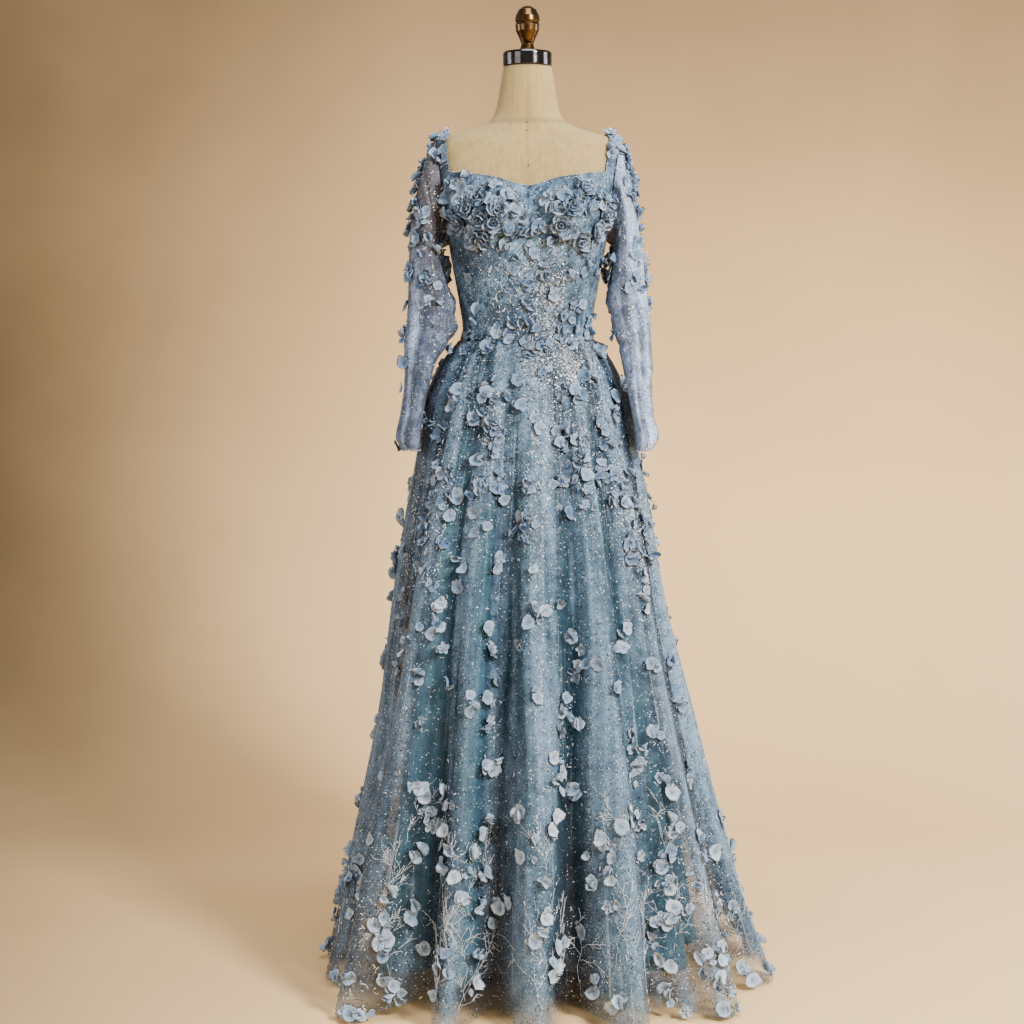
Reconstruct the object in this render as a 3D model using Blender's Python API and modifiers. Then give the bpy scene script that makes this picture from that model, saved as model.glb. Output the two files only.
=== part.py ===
"""A-line evening dress of embroidered tulle over satin, on a limbless dress form.

Metres, +Z up, +X to the right as seen from the front, +Y to the back. The origin is
on the floor, at the centre of the stand's base. Tables and named sizes are in mm.
Left is -X. Angles go round the vertical axis in degrees: 0 is the front, 90 is +X.
"""

import math

import bmesh
import bpy
import numpy as np

MM = 0.001

# Walls and clearances
BODICE_WALL = 2.0
TULLE_WALL = 1.4
LINING_WALL = 1.2
SLEEVE_WALL = 1.4
LACE_WALL = 1.0
SEAM_GAP = 0.35
SLEEVE_LAP = 1.4

# Room between form and bodice: it fits closest at the waist and on the shoulders
ROOM_COLUMNS = ("height", "room")
FORM_ROOM = ((1165, 0.95), (1200, 1.4), (1290, 2.3), (1465, 2.2), (1530, 1.5))

# Heights
WAIST = 1165.0
HEM = 6.0
TORSO_BOTTOM = 885.0

# The form: a ring for each height, squareness 2 being an ellipse
BODY_COLUMNS = ("height", "half_width", "front", "back", "squareness")
BODY_SECTIONS = (
    (885, 168, 104, 122, 2.2),
    (960, 178, 110, 128, 2.2),
    (1040, 170, 108, 122, 2.2),
    (1100, 153, 101, 108, 2.2),
    (1140, 134, 95, 96, 2.2),
    (1165, 121, 91, 89, 2.2),
    (1189, 115.5, 88, 86, 2.2),
    (1228, 120, 90, 88, 2.2),
    (1287, 130, 97, 94, 2.3),
    (1344, 140, 103, 101, 2.4),
    (1390, 148, 103, 104, 2.6),
    (1429, 154, 98, 104, 2.9),
    (1464, 160, 88, 99, 3.0),
    (1498, 164, 75, 89, 2.9),
    (1517, 164, 67, 80, 2.7),
    (1527, 161, 62, 76, 2.5),
    (1534, 149, 58, 73, 2.4),
    (1542, 122, 54, 69, 2.3),
    (1550, 94, 52, 64, 2.2),
    (1561, 72, 50, 58, 2.1),
    (1576, 60, 49, 52, 2.0),
    (1601, 54, 47, 48, 2.0),
    (1660, 44, 42, 42, 2.0),
)
BUST_OUT = 74.0
BUST_HEIGHT = 1387.0
FORM_BUST = 23.0
DRESS_BUST = 27.0
BUST_SPREAD = 42.0
BUST_FALL_BELOW = 34.0

# The overskirt: half lengths of its ring at each height, without the folds
SKIRT_COLUMNS = ("height", "left", "right", "front", "back")
SKIRT_SECTIONS = (
    (6, 372, 444, 424, 470),
    (132, 345, 398, 396, 436),
    (314, 307, 342, 350, 380),
    (495, 272, 296, 303, 323),
    (676, 250, 254, 253, 264),
    (855, 222, 227, 199, 208),
    (966, 201, 204, 161, 171),
    (1055, 190, 191, 133, 138),
    (1092, 174, 173, 121, 124),
    (1129, 154, 154, 109, 109),
    (1165, 124.5, 124.5, 94.5, 92.5),
)
SKIRT_SQUARENESS = 2.25

# Folds, round from the left side seam: where each crest or recess lies at the hip and
# at the hem, how far out it stands at the hem, and the height where it begins
FOLD_COLUMNS = ("hip_angle", "hem_angle", "out", "top")
FOLDS = (
    (-90, -87, 4, 1060),
    (-79, -77, -30, 1040),
    (-69, -68, 12, 1060),
    (-58, -58, -20, 1080),
    (-46, -43, 66, 1100),
    (-37, -29, -46, 1110),
    (-27, -19, 22, 1120),
    (-14, -10, -84, 1150),
    (1, 2, 30, 1155),
    (27, 13, -92, 1140),
    (38, 24, 24, 1110),
    (48, 33, -34, 1090),
    (58, 45, 42, 1080),
    (67, 60, -16, 1060),
    (76, 70, 24, 1050),
    (83, 81, -26, 1040),
    (91, 91, 6, 1060),
    (101, 101, -42, 1080),
    (111, 110, 16, 1070),
    (120, 121, -38, 1100),
    (131, 132, 22, 1090),
    (142, 141, -50, 1110),
    (151, 151, 24, 1100),
    (161, 162, -56, 1120),
    (170, 171, 20, 1110),
    (180, 180, -44, 1130),
    (190, 189, 26, 1110),
    (199, 200, -58, 1120),
    (209, 210, 18, 1100),
    (220, 219, -40, 1100),
    (229, 230, 22, 1080),
    (239, 240, -46, 1090),
    (250, 249, 14, 1070),
    (260, 261, -34, 1060),
    (270, 273, 4, 1060),
)
LEFT_SEAM, RIGHT_SEAM, CENTRE_BACK = 0, 16, 25
FOLD_GROWTH = 1.12
FOLD_DRIFT = 1.5
SKIRT_ROWS = (6, 120, 280, 450, 620, 780, 910, 1010, 1085, 1130, 1165)
SKIRT_STEPS = 3

# Room between overskirt and lining
LINING_COLUMNS = ("height", "left", "right", "front", "back")
LINING_GAPS = (
    (66, 128, 128, 34, 60),
    (300, 84, 84, 24, 40),
    (600, 44, 50, 15, 22),
    (828, 15, 15, 9, 10),
    (966, 7, 7, 5, 6),
    (1100, 2.5, 2.5, 2, 2),
    (1165, 0.6, 0.6, 0.6, 0.6),
)
LINING_ROWS = (66, 300, 560, 800, 980, 1090, 1165)
LINING_STEPS = 2

# Bodice seams
PRINCESS = 38.0
NECKLINE_COLUMNS = ("angle", "height")
FRONT_NECKLINE = ((0, 1436), (14, 1443), (32, 1454), (50, 1461), (62, 1467))
BACK_NECKLINE = ((116, 1461), (128, 1449), (150, 1437), (180, 1430))
UNDERBUST = ((0, 1356), (22, 1344), (42, 1338), (62, 1346), (90, 1360))

# Armhole, an ellipse as seen from the side, and the strap along its top
ARMHOLE_HEIGHT = 1437.0
ARMHOLE_HALF_HEIGHT = 91.0
ARMHOLE_HALF_DEPTH = 50.0
ARMHOLE_BACK = 3.0
STRAP_TURN = 65.0
STRAP_WIDTH = 22.0
CUP_TURN = 150.0

# Gathers of the cups, fanned out from centre front
GATHERS = 5
GATHER_HEIGHT = 2.4

# Sleeves: where each section's outer and inner side lie, half its depth, how far
# forward it hangs, and how much its back leans out
SLEEVE_COLUMNS = ("outer_x", "outer_z", "inner_x", "inner_z", "forward", "half_depth", "lean")
SLEEVE_LEFT = (
    (180, 1515, 155, 1337, 0, 60, 0),
    (191, 1477, 156, 1327, 1, 62, 0),
    (201, 1436, 155, 1316, 3, 62, 0),
    (210, 1390, 152, 1300, 6, 60, 0),
    (214, 1340, 147, 1279, 12, 56, 1),
    (216, 1287, 139, 1254, 20, 52, 2),
    (217, 1238, 130, 1221, 31, 47, 3),
    (220, 1195, 129, 1188, 42, 45, 4),
    (224, 1160, 145, 1158, 50, 43, 5),
    (222, 1126, 165, 1128, 60, 42, 6),
    (223, 1082, 178, 1084, 72, 41, 7),
    (230, 1032, 189, 1032, 80, 39, 8),
    (237, 996, 194, 996, 84, 38, 8),
    (229, 969, 196, 969, 86, 36, 8),
)
SLEEVE_RIGHT = (
    (176, 1513, 155, 1337, 0, 60, 0),
    (185, 1475, 156, 1327, 1, 62, 0),
    (195, 1434, 155, 1316, 3, 62, 0),
    (202, 1390, 152, 1300, 6, 60, 0),
    (208, 1340, 149, 1279, 12, 56, 1),
    (213, 1287, 144, 1254, 20, 52, 2),
    (219, 1238, 147, 1221, 31, 48, 3),
    (224, 1195, 156, 1188, 42, 45, 4),
    (225, 1160, 164, 1158, 50, 43, 5),
    (226, 1126, 171, 1128, 60, 42, 6),
    (225, 1082, 179, 1084, 72, 41, 7),
    (228, 1032, 190, 1032, 80, 39, 8),
    (237, 996, 196, 996, 84, 38, 8),
    (226, 969, 198, 969, 86, 36, 8),
)
SLEEVE_AROUND = 16
SLEEVE_ROWS = 14

# Petals of the applique
PETAL_SIDES = 6
PETAL_RADIUS = (13.0, 17.0)
PETAL_RISE = 6.5
PETAL_ROOT = 0.6
BUST_PATCH = {"columns": (1, 9), "rows": (3, 9), "petals": 9}
SKIRT_STRIPS = (
    ("front_left", 18, 2, 9, 15),
    ("front_right", 37, 1, 9, 16),
    ("back_right", 5, 2, 9, 13),
    ("back_left", 15, 2, 9, 13),
)

# Stand, cap and finial: radius and height down each turned outline
BASE_PROFILE = ((0, 24), (30, 24), (34, 20), (38, 13), (172, 9), (180, 6), (180, 0), (0, 0))
POLE_RADIUS = 16.0
POLE_BOTTOM = 24.3
CAP_PROFILE = ((0, 1687), (42, 1687), (44.5, 1684), (44.5, 1662), (43, 1660.4), (0, 1660.4))
FINIAL_PROFILE = (
    (0, 1769),
    (8, 1767.5),
    (16, 1762),
    (21.5, 1751),
    (22.5, 1742),
    (20.5, 1739),
    (22, 1735),
    (21, 1724),
    (15, 1711),
    (11, 1701),
    (13, 1693.5),
    (18, 1687.3),
    (0, 1687.3),
)

# Zip slider and pull tab
SLIDER = {"width": 7.6, "depth": 2.4, "height": 9.0, "top": 1424.0}
ZIP_FACE = 109.0
LUG = {"width": 1.0, "depth": 2.8, "height": 2.6, "across": 3.3}
PIN_RADIUS = 0.6
PIN_OUT = 1.9
BARREL = {"radius": 1.5, "bore": 0.9, "length": 3.4}
TAB = {"width": 4.6, "thickness": 1.0, "length": 16.0}

# name: (colour, roughness, metallic)
MATERIALS = {
    "linen": ((0.56, 0.49, 0.37), 0.9, 0.0),
    "chrome": ((0.34, 0.32, 0.31), 0.22, 1.0),
    "bronze": ((0.18, 0.10, 0.045), 0.35, 1.0),
    "stand": ((0.07, 0.07, 0.075), 0.45, 0.6),
    "tulle": ((0.22, 0.30, 0.38), 0.6, 0.0),
    "sleeve": ((0.32, 0.38, 0.48), 0.65, 0.0),
    "satin": ((0.13, 0.27, 0.36), 0.35, 0.0),
    "bodice": ((0.24, 0.36, 0.46), 0.5, 0.0),
    "petal": ((0.42, 0.54, 0.68), 0.6, 0.0),
    "zip": ((0.45, 0.50, 0.56), 0.35, 0.7),
}


# ---------------------------------------------------------------- curves and surfaces


def smooth_curve(at, knots, values):
    """A smooth curve through the knots that doesn't swing past them."""
    knots = np.asarray(knots, float)
    values = np.asarray(values, float)
    step = np.diff(knots)
    slope = np.diff(values) / step
    before, after = slope[:-1], slope[1:]
    tangent = np.zeros_like(values)
    rising = before * after > 0
    tangent[1:-1][rising] = (2 * before * after)[rising] / (before + after)[rising]
    tangent[0], tangent[-1] = slope[0], slope[-1]
    at = np.clip(at, knots[0], knots[-1])
    i = np.clip(np.searchsorted(knots, at, side="right") - 1, 0, len(step) - 1)
    t = (at - knots[i]) / step[i]
    ends = values[i] * (1 + 2 * t) * (1 - t) ** 2 + values[i + 1] * t * t * (3 - 2 * t)
    bends = tangent[i] * t * (1 - t) ** 2 - tangent[i + 1] * t * t * (1 - t)
    return ends + bends * step[i]


def column(table, columns, name, at):
    """A table's column read at some place of its first column."""
    rows = np.array(table, float)
    return smooth_curve(at, rows[:, 0], rows[:, columns.index(name)])


def ring(angle, across, depth, squareness):
    """Distance from the axis to a rounded ring."""
    turn = np.radians(angle)
    sides = np.abs(np.sin(turn) / across) ** squareness
    faces = np.abs(np.cos(turn) / depth) ** squareness
    return (sides + faces) ** (-1 / squareness)


def to_xyz(angle, radius, height):
    turn = np.radians(angle)
    return np.stack([radius * np.sin(turn), -radius * np.cos(turn), height], axis=-1)


def body(angle, height, bust):
    """The form's surface, its bust standing out by the given height."""
    angle, height = np.broadcast_arrays(np.asarray(angle, float), np.asarray(height, float))
    sizes = [column(BODY_SECTIONS, BODY_COLUMNS, name, height) for name in BODY_COLUMNS[1:]]
    half_width, front, back, squareness = sizes
    ahead = np.cos(np.radians(angle))
    radius = ring(angle, half_width, np.where(ahead > 0, front, back), squareness)
    point = to_xyz(angle, radius, height)
    rise = height - BUST_HEIGHT
    spread = np.where(rise < 0, BUST_FALL_BELOW, BUST_SPREAD)
    aside = (np.abs(point[..., 0]) - BUST_OUT) / BUST_SPREAD
    swell = bust * np.exp(-(aside**2 + (rise / spread) ** 2) / 1.3)
    point[..., 1] -= swell * np.clip(ahead * 2.5, 0, 1)
    return point


def normals_of(surface, angle, height):
    """Outward directions of a surface that is a function of angle and height."""
    across = surface(angle + 0.4, height) - surface(angle - 0.4, height)
    up = surface(angle, height + 0.8) - surface(angle, height - 0.8)
    out = np.cross(across, up)
    return out / np.linalg.norm(out, axis=-1, keepdims=True)


def dress_body(angle, height):
    return body(angle, height, DRESS_BUST)


def form_room(height):
    return column(FORM_ROOM, ROOM_COLUMNS, "room", height)


def bodice(angle, height, out=0.0):
    """A surface that far out from the inside of the bodice."""
    angle, height = np.broadcast_arrays(np.asarray(angle, float), np.asarray(height, float))
    off = np.asarray(form_room(height) + out)[..., None]
    return dress_body(angle, height) + off * normals_of(dress_body, angle, height)


def bodice_skins(panel, raised=0.0):
    """Inside and outside of a bodice panel, from its grid of angles and heights."""
    angle, height = panel[..., 0], panel[..., 1]
    return bodice(angle, height, raised), bodice(angle, height, raised + BODICE_WALL)


def fold_places(height):
    """Angle and stand-out of every crest and recess at some heights."""
    hip, hem, out, top = np.array(FOLDS, float).T[:, :, None]
    height = np.asarray(height, float).reshape(1, -1)
    down = np.clip((WAIST - height) / (WAIST - HEM), 0, 1)
    angles = hem + (hip - hem) * (1 - down) ** FOLD_DRIFT
    grown = np.clip((top - height) / (top - HEM), 0, 1) ** FOLD_GROWTH
    return angles, out * grown


def folds(angle, height):
    """How far the folds move the skirt out."""
    angle, height = np.broadcast_arrays(np.asarray(angle, float), np.asarray(height, float))
    shape = angle.shape
    places, outs = fold_places(height.ravel())
    left = places[0]
    turned = left + np.mod(angle.ravel() - left, 360)
    moved = np.zeros(turned.size)
    for i in range(len(FOLDS) - 1):
        part = (turned - places[i]) / (places[i + 1] - places[i])
        inside = (part >= 0) & (part <= 1)
        eased = (1 - np.cos(np.pi * part)) / 2
        moved = np.where(inside, outs[i] + (outs[i + 1] - outs[i]) * eased, moved)
    return moved.reshape(shape)


def side_values(table, columns, height, angle):
    """Half lengths of a ring at some heights, by the side that each angle lies on."""
    sizes = [column(table, columns, name, height) for name in columns[1:]]
    left, right, front, back = sizes
    turn = np.radians(angle)
    return np.where(np.sin(turn) < 0, left, right), np.where(np.cos(turn) > 0, front, back)


def skirt_radius(angle, height):
    across, depth = side_values(SKIRT_SECTIONS, SKIRT_COLUMNS, height, angle)
    return ring(angle, across, depth, SKIRT_SQUARENESS) + folds(angle, height)


def skirt(angle, height):
    """The inside of the overskirt."""
    angle, height = np.broadcast_arrays(np.asarray(angle, float), np.asarray(height, float))
    return to_xyz(angle, skirt_radius(angle, height), height)


def lining(angle, height):
    """The outside of the lining, which follows the overskirt's folds inside it."""
    angle, height = np.broadcast_arrays(np.asarray(angle, float), np.asarray(height, float))
    across, depth = side_values(LINING_GAPS, LINING_COLUMNS, height, angle)
    sideways = np.sin(np.radians(angle)) ** 2
    room = across * sideways + depth * (1 - sideways)
    return to_xyz(angle, skirt_radius(angle, height) - room, height)


def armhole_on_form(turn):
    """A point of the armhole: 0 at the shoulder tip, 90 in front. +X side."""
    turn = np.radians(turn)
    y = ARMHOLE_BACK - ARMHOLE_HALF_DEPTH * np.sin(turn)
    height = ARMHOLE_HEIGHT + ARMHOLE_HALF_HEIGHT * np.cos(turn)
    sizes = [column(BODY_SECTIONS, BODY_COLUMNS, name, height) for name in BODY_COLUMNS[1:]]
    half_width, front, back, squareness = sizes
    depth = np.where(y < 0, front, back)
    x = half_width * (1 - np.abs(y / depth) ** squareness) ** (1 / squareness)
    return np.stack([x, y, height], axis=-1)


# ------------------------------------------------------------------------- meshes


def collection(name, hidden=False):
    made = bpy.data.collections.new(name)
    bpy.context.scene.collection.children.link(made)
    made.hide_render = hidden
    return made


def material(name):
    found = bpy.data.materials.get(name)
    if found:
        return found
    colour, roughness, metallic = MATERIALS[name]
    made = bpy.data.materials.new(name)
    made.use_nodes = True
    shader = made.node_tree.nodes["Principled BSDF"]
    shader.inputs["Base Color"].default_value = (*colour, 1)
    shader.inputs["Roughness"].default_value = roughness
    shader.inputs["Metallic"].default_value = metallic
    return made


def new_object(name, mesh, finish, smooth_angle=40.0):
    """An object in the dress's collection, with its material, shaded smooth."""
    made = bpy.data.objects.new(name, mesh)
    DRESS.objects.link(made)
    mesh.materials.append(material(finish))
    mesh.shade_smooth()
    mesh.set_sharp_from_angle(angle=math.radians(smooth_angle))
    return made


def grid_mesh(name, grid, around=False):
    """A mesh through a grid of points in mm, its squares cut along one diagonal."""
    columns, rows = grid.shape[:2]
    bm = bmesh.new()
    points = [[bm.verts.new(p) for p in line] for line in (grid * MM).tolist()]
    last = columns if around else columns - 1
    for i in range(last):
        here, there = points[i], points[(i + 1) % columns]
        for j in range(rows - 1):
            bm.faces.new((here[j], there[j], there[j + 1]))
            bm.faces.new((here[j], there[j + 1], here[j + 1]))
    mesh = bpy.data.meshes.new(name)
    bm.to_mesh(mesh)
    bm.free()
    return mesh


def trimmed(grid):
    """The grid with its borders drawn in by half a seam gap."""
    grid = grid.copy()
    borders = ((np.s_[:, 0], np.s_[:, 1]), (np.s_[:, -1], np.s_[:, -2]))
    borders += ((np.s_[0], np.s_[1]), (np.s_[-1], np.s_[-2]))
    for edge, inner in borders:
        way = grid[inner] - grid[edge]
        grid[edge] += way / np.linalg.norm(way, axis=-1, keepdims=True) * SEAM_GAP / 2
    return grid


def wall(name, inside, outside, finish):
    """A cloth wall between its two skins, which share one layout of points."""
    inside, outside = trimmed(inside), trimmed(outside)
    columns, rows = inside.shape[:2]
    bm = bmesh.new()
    skins = []
    for skin, flip in ((inside, True), (outside, False)):
        points = [[bm.verts.new(p) for p in line] for line in (skin * MM).tolist()]
        skins.append(points)
        for i in range(columns - 1):
            for j in range(rows - 1):
                low, side = points[i][j], points[i + 1][j]
                far, high = points[i + 1][j + 1], points[i][j + 1]
                for corners in ((low, side, far), (low, far, high)):
                    bm.faces.new(corners[::-1] if flip else corners)
    rim = [(i, 0) for i in range(columns)] + [(columns - 1, j) for j in range(1, rows)]
    rim += [(i, rows - 1) for i in range(columns - 2, -1, -1)]
    rim += [(0, j) for j in range(rows - 2, 0, -1)]
    for (i, j), (k, m) in zip(rim, rim[1:] + rim[:1]):
        bm.faces.new((skins[0][i][j], skins[0][k][m], skins[1][k][m], skins[1][i][j]))
    mesh = bpy.data.meshes.new(name)
    bm.to_mesh(mesh)
    bm.free()
    return new_object(name, mesh, finish)


def turned(name, profile, finish, steps):
    """A turned shape: its outline, top to bottom, with a Screw."""
    bm = bmesh.new()
    points = [bm.verts.new((radius * MM, 0, height * MM)) for radius, height in profile]
    for one, two in zip(points, points[1:]):
        bm.edges.new((one, two))
    mesh = bpy.data.meshes.new(name)
    bm.to_mesh(mesh)
    bm.free()
    made = new_object(name, mesh, finish)
    screw = made.modifiers.new("turn", "SCREW")
    screw.steps = screw.render_steps = steps
    screw.use_merge_vertices = True
    screw.merge_threshold = 0.00005
    screw.use_smooth_shade = True
    return made


def joined(target, helper, operation="UNION"):
    """Joins a hidden helper to an object, or cuts it out, with a Boolean."""
    helper.hide_render = True
    helper.display_type = "WIRE"
    boolean = target.modifiers.new(operation.lower(), "BOOLEAN")
    boolean.operation = operation
    boolean.object = helper


def cutter(name, mesh):
    made = bpy.data.objects.new(name, mesh)
    CUTTERS.objects.link(made)
    return made


def block_mesh(name, size, centre):
    """A box as a mesh, from its size and centre in mm."""
    bm = bmesh.new()
    bmesh.ops.create_cube(bm, size=1)
    bmesh.ops.scale(bm, vec=[s * MM for s in size], verts=bm.verts)
    bmesh.ops.translate(bm, vec=[c * MM for c in centre], verts=bm.verts)
    mesh = bpy.data.meshes.new(name)
    bm.to_mesh(mesh)
    bm.free()
    return mesh


def rod_mesh(name, radius, length, centre, axis="X", sides=16):
    """A rod along X or Z as a mesh, from its sizes and centre in mm."""
    bm = bmesh.new()
    made = bmesh.ops.create_cone(
        bm,
        cap_ends=True,
        segments=sides,
        radius1=radius * MM,
        radius2=radius * MM,
        depth=length * MM,
    )
    if axis == "X":
        quarter = ((0, 0, 1), (0, 1, 0), (-1, 0, 0))
        for vertex in made["verts"]:
            vertex.co = [sum(a * b for a, b in zip(row, vertex.co)) for row in quarter]
    bmesh.ops.translate(bm, vec=[c * MM for c in centre], verts=bm.verts)
    mesh = bpy.data.meshes.new(name)
    bm.to_mesh(mesh)
    bm.free()
    return mesh


# ----------------------------------------------------------------- form and stand


def form_torso():
    """The form: rings from hip to neck, closed flat at both ends."""
    around = 28
    heights = [885, 960, 1040, 1100, 1140, 1165, 1190, 1228, 1266, 1305, 1336, 1361]
    heights += [1387, 1411, 1438, 1475, 1503, 1518, 1527, 1534, 1542, 1550, 1561, 1576, 1618, 1660]
    angle = np.arange(around) * 360 / around
    grid = body(angle[:, None], np.array(heights, float)[None, :], FORM_BUST)
    mesh = grid_mesh("form_torso", grid, around=True)
    bm = bmesh.new()
    bm.from_mesh(mesh)
    bmesh.ops.holes_fill(bm, edges=bm.edges, sides=around)
    bmesh.ops.recalc_face_normals(bm, faces=bm.faces)
    bm.to_mesh(mesh)
    bm.free()
    new_object("form_torso", mesh, "linen")


def stand():
    turned("stand_base", BASE_PROFILE, "stand", 28)
    length = TORSO_BOTTOM - 0.3 - POLE_BOTTOM
    centre = (0, 0, POLE_BOTTOM + length / 2)
    pole = rod_mesh("stand_pole", POLE_RADIUS, length, centre, "Z", 18)
    new_object("stand_pole", pole, "stand")
    turned("form_neck_cap", CAP_PROFILE, "chrome", 24)
    turned("form_finial", FINIAL_PROFILE, "bronze", 16)


# ------------------------------------------------------------------------- bodice


def coons(bottom, top, start, end):
    """Angle and height over a panel, from its four edges."""
    across = np.linspace(0, 1, len(bottom))[:, None, None]
    up = np.linspace(0, 1, len(start))[None, :, None]
    mixed = (1 - up) * bottom[:, None] + up * top[:, None]
    mixed = mixed + (1 - across) * start[None] + across * end[None]
    corners = (1 - across) * ((1 - up) * bottom[0] + up * top[0])
    corners = corners + across * ((1 - up) * bottom[-1] + up * top[-1])
    return mixed - corners


def edge(angles, heights):
    return np.stack(np.broadcast_arrays(angles, heights), axis=-1).astype(float)


def armhole_edge(turns):
    return edge(*angle_height(armhole_on_form(np.asarray(turns, float))))


def strap_grid():
    """Points of the form under the strap, from its outer edge inwards. +X side."""
    turns = np.linspace(STRAP_TURN, -STRAP_TURN, 17)
    outer = armhole_on_form(turns)
    inward = np.gradient(outer, axis=0)
    middle = np.array([0.0, ARMHOLE_BACK, ARMHOLE_HEIGHT])
    lines = [outer]
    point = outer
    steps = 12
    for _ in range(steps):
        normal = field_normal(point)
        way = np.cross(inward, normal)
        way /= np.linalg.norm(way, axis=-1, keepdims=True)
        way *= np.sign(np.sum(way * (point - middle) * (0, 1, 1), axis=-1, keepdims=True))
        point = on_body(point + way * STRAP_WIDTH / steps)
        lines.append(point)
    return np.stack([lines[0], lines[steps // 2], lines[steps]])


def field(point):
    """Below 1 inside the form's rings, above 1 outside them."""
    x, y, height = np.moveaxis(point, -1, 0)
    sizes = [column(BODY_SECTIONS, BODY_COLUMNS, name, height) for name in BODY_COLUMNS[1:]]
    half_width, front, back, squareness = sizes
    depth = np.where(y < 0, front, back)
    return (np.abs(x) / half_width) ** squareness + (np.abs(y) / depth) ** squareness


def field_slope(point):
    steps = np.eye(3) * 0.5
    return np.stack([field(point + s) - field(point - s) for s in steps], axis=-1)


def field_normal(point):
    slope = field_slope(point)
    return slope / np.linalg.norm(slope, axis=-1, keepdims=True)


def on_body(point):
    """The point moved onto the form's surface."""
    for _ in range(12):
        slope = field_slope(point)
        short = (1 - field(point))[..., None]
        point = point + slope * short / np.sum(slope * slope, axis=-1, keepdims=True)
    return point


def angle_height(point):
    """Angle and height of a point."""
    return np.degrees(np.arctan2(point[..., 0], -point[..., 1])), point[..., 2]


def mirrored(grid):
    """The same grid on the other side, still running the same way round."""
    return grid[::-1] * (-1, 1, 1)


def bodice_sides(name, skins):
    """A piece of the bodice and its mirror image, from the skins of the +X one."""
    wall(f"{name}_right", *skins, "bodice")
    wall(f"{name}_left", *(mirrored(skin) for skin in skins), "bodice")


def neck_edge(table, angles):
    return edge(angles, column(table, NECKLINE_COLUMNS, "height", angles))


def gathers(panel):
    """Soft gathers that fan out from centre front and fade at every edge."""
    across = np.linspace(0, 1, panel.shape[0])[:, None]
    up = np.linspace(0, 1, panel.shape[1])[None, :]
    fading = (1 - across) ** 1.2 * np.sin(np.pi * up) ** 0.5 * np.clip(across * 8, 0, 1)
    waves = (1 - np.cos(2 * np.pi * GATHERS * up)) / 2
    return GATHER_HEIGHT * fading * waves


def cup_grid(strap):
    """Angles and heights of a cup, from centre front to the armhole. +X side."""
    columns, rows = 10, 11
    outer_angle, _ = angle_height(strap[0, 0])
    inner_angle, inner_height = angle_height(strap[-1, 0])
    middle_angle, middle_height = angle_height(strap[1, 0])
    end = armhole_edge(np.linspace(CUP_TURN, STRAP_TURN, rows))
    lower_angles = np.linspace(0, end[0, 0], columns + 1)
    bottom = neck_edge(UNDERBUST, lower_angles)
    bottom[-1] = end[0]
    top = neck_edge(FRONT_NECKLINE, np.linspace(0, inner_angle - 2.2, columns - 1))
    strap_base = edge([middle_angle, outer_angle], [middle_height, 0])
    strap_base[-1] = end[-1]
    top = np.concatenate([top, edge([inner_angle], [inner_height]), strap_base[-1:]])
    start = edge(0, np.linspace(bottom[0, 1], top[0, 1], rows))
    panel = coons(bottom, top, start, end)
    return panel


def waist_edge(angles):
    return edge(angles, WAIST)


def bodice_panels(cup_panel):
    """Midriff, side and back panels, below and behind the cups."""
    rows = 6
    span = np.linspace(-PRINCESS, PRINCESS, 13)
    top = neck_edge(UNDERBUST, np.abs(span))
    top[:, 0] = span
    heights = np.linspace(WAIST, top[0, 1], rows)
    grid = coons(waist_edge(span), top, edge(-PRINCESS, heights), edge(PRINCESS, heights))
    wall("bodice_front", *bodice_skins(grid), "bodice")

    corner = cup_panel[-1, 0]
    cup_part = np.linspace(PRINCESS, corner[0], 6)[:-1]
    armpit = armhole_edge(np.linspace(CUP_TURN, 180, 3))
    top = np.concatenate([neck_edge(UNDERBUST, cup_part), armpit])
    bottom = waist_edge(np.linspace(PRINCESS, armpit[-1, 0], len(top)))
    start = edge(PRINCESS, np.linspace(WAIST, top[0, 1], rows))
    end = edge(armpit[-1, 0], np.linspace(WAIST, top[-1, 1], rows))
    grid = coons(bottom, top, start, end)
    bodice_sides("bodice_side", bodice_skins(grid))
    return armpit[-1]


def back_panel(armpit, strap):
    inner_angle, inner_height = angle_height(strap[-1, -1])
    below = edge(armpit[0], np.linspace(WAIST, armpit[1], 5))
    above = armhole_edge(np.linspace(180, 360 - STRAP_TURN, 6))
    start = np.concatenate([below, above[1:]])
    neck = neck_edge(BACK_NECKLINE, np.linspace(inner_angle + 2.2, 180, 9))
    top = np.concatenate([above[-1:], edge([inner_angle], [inner_height]), neck])
    bottom = waist_edge(np.linspace(armpit[0], 180, len(top)))
    end = edge(180, np.linspace(WAIST, top[-1, 1], len(start)))
    grid = coons(bottom, top, start, end)
    bodice_sides("bodice_back", bodice_skins(grid))


# ------------------------------------------------------------- sleeves and skirts


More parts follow.
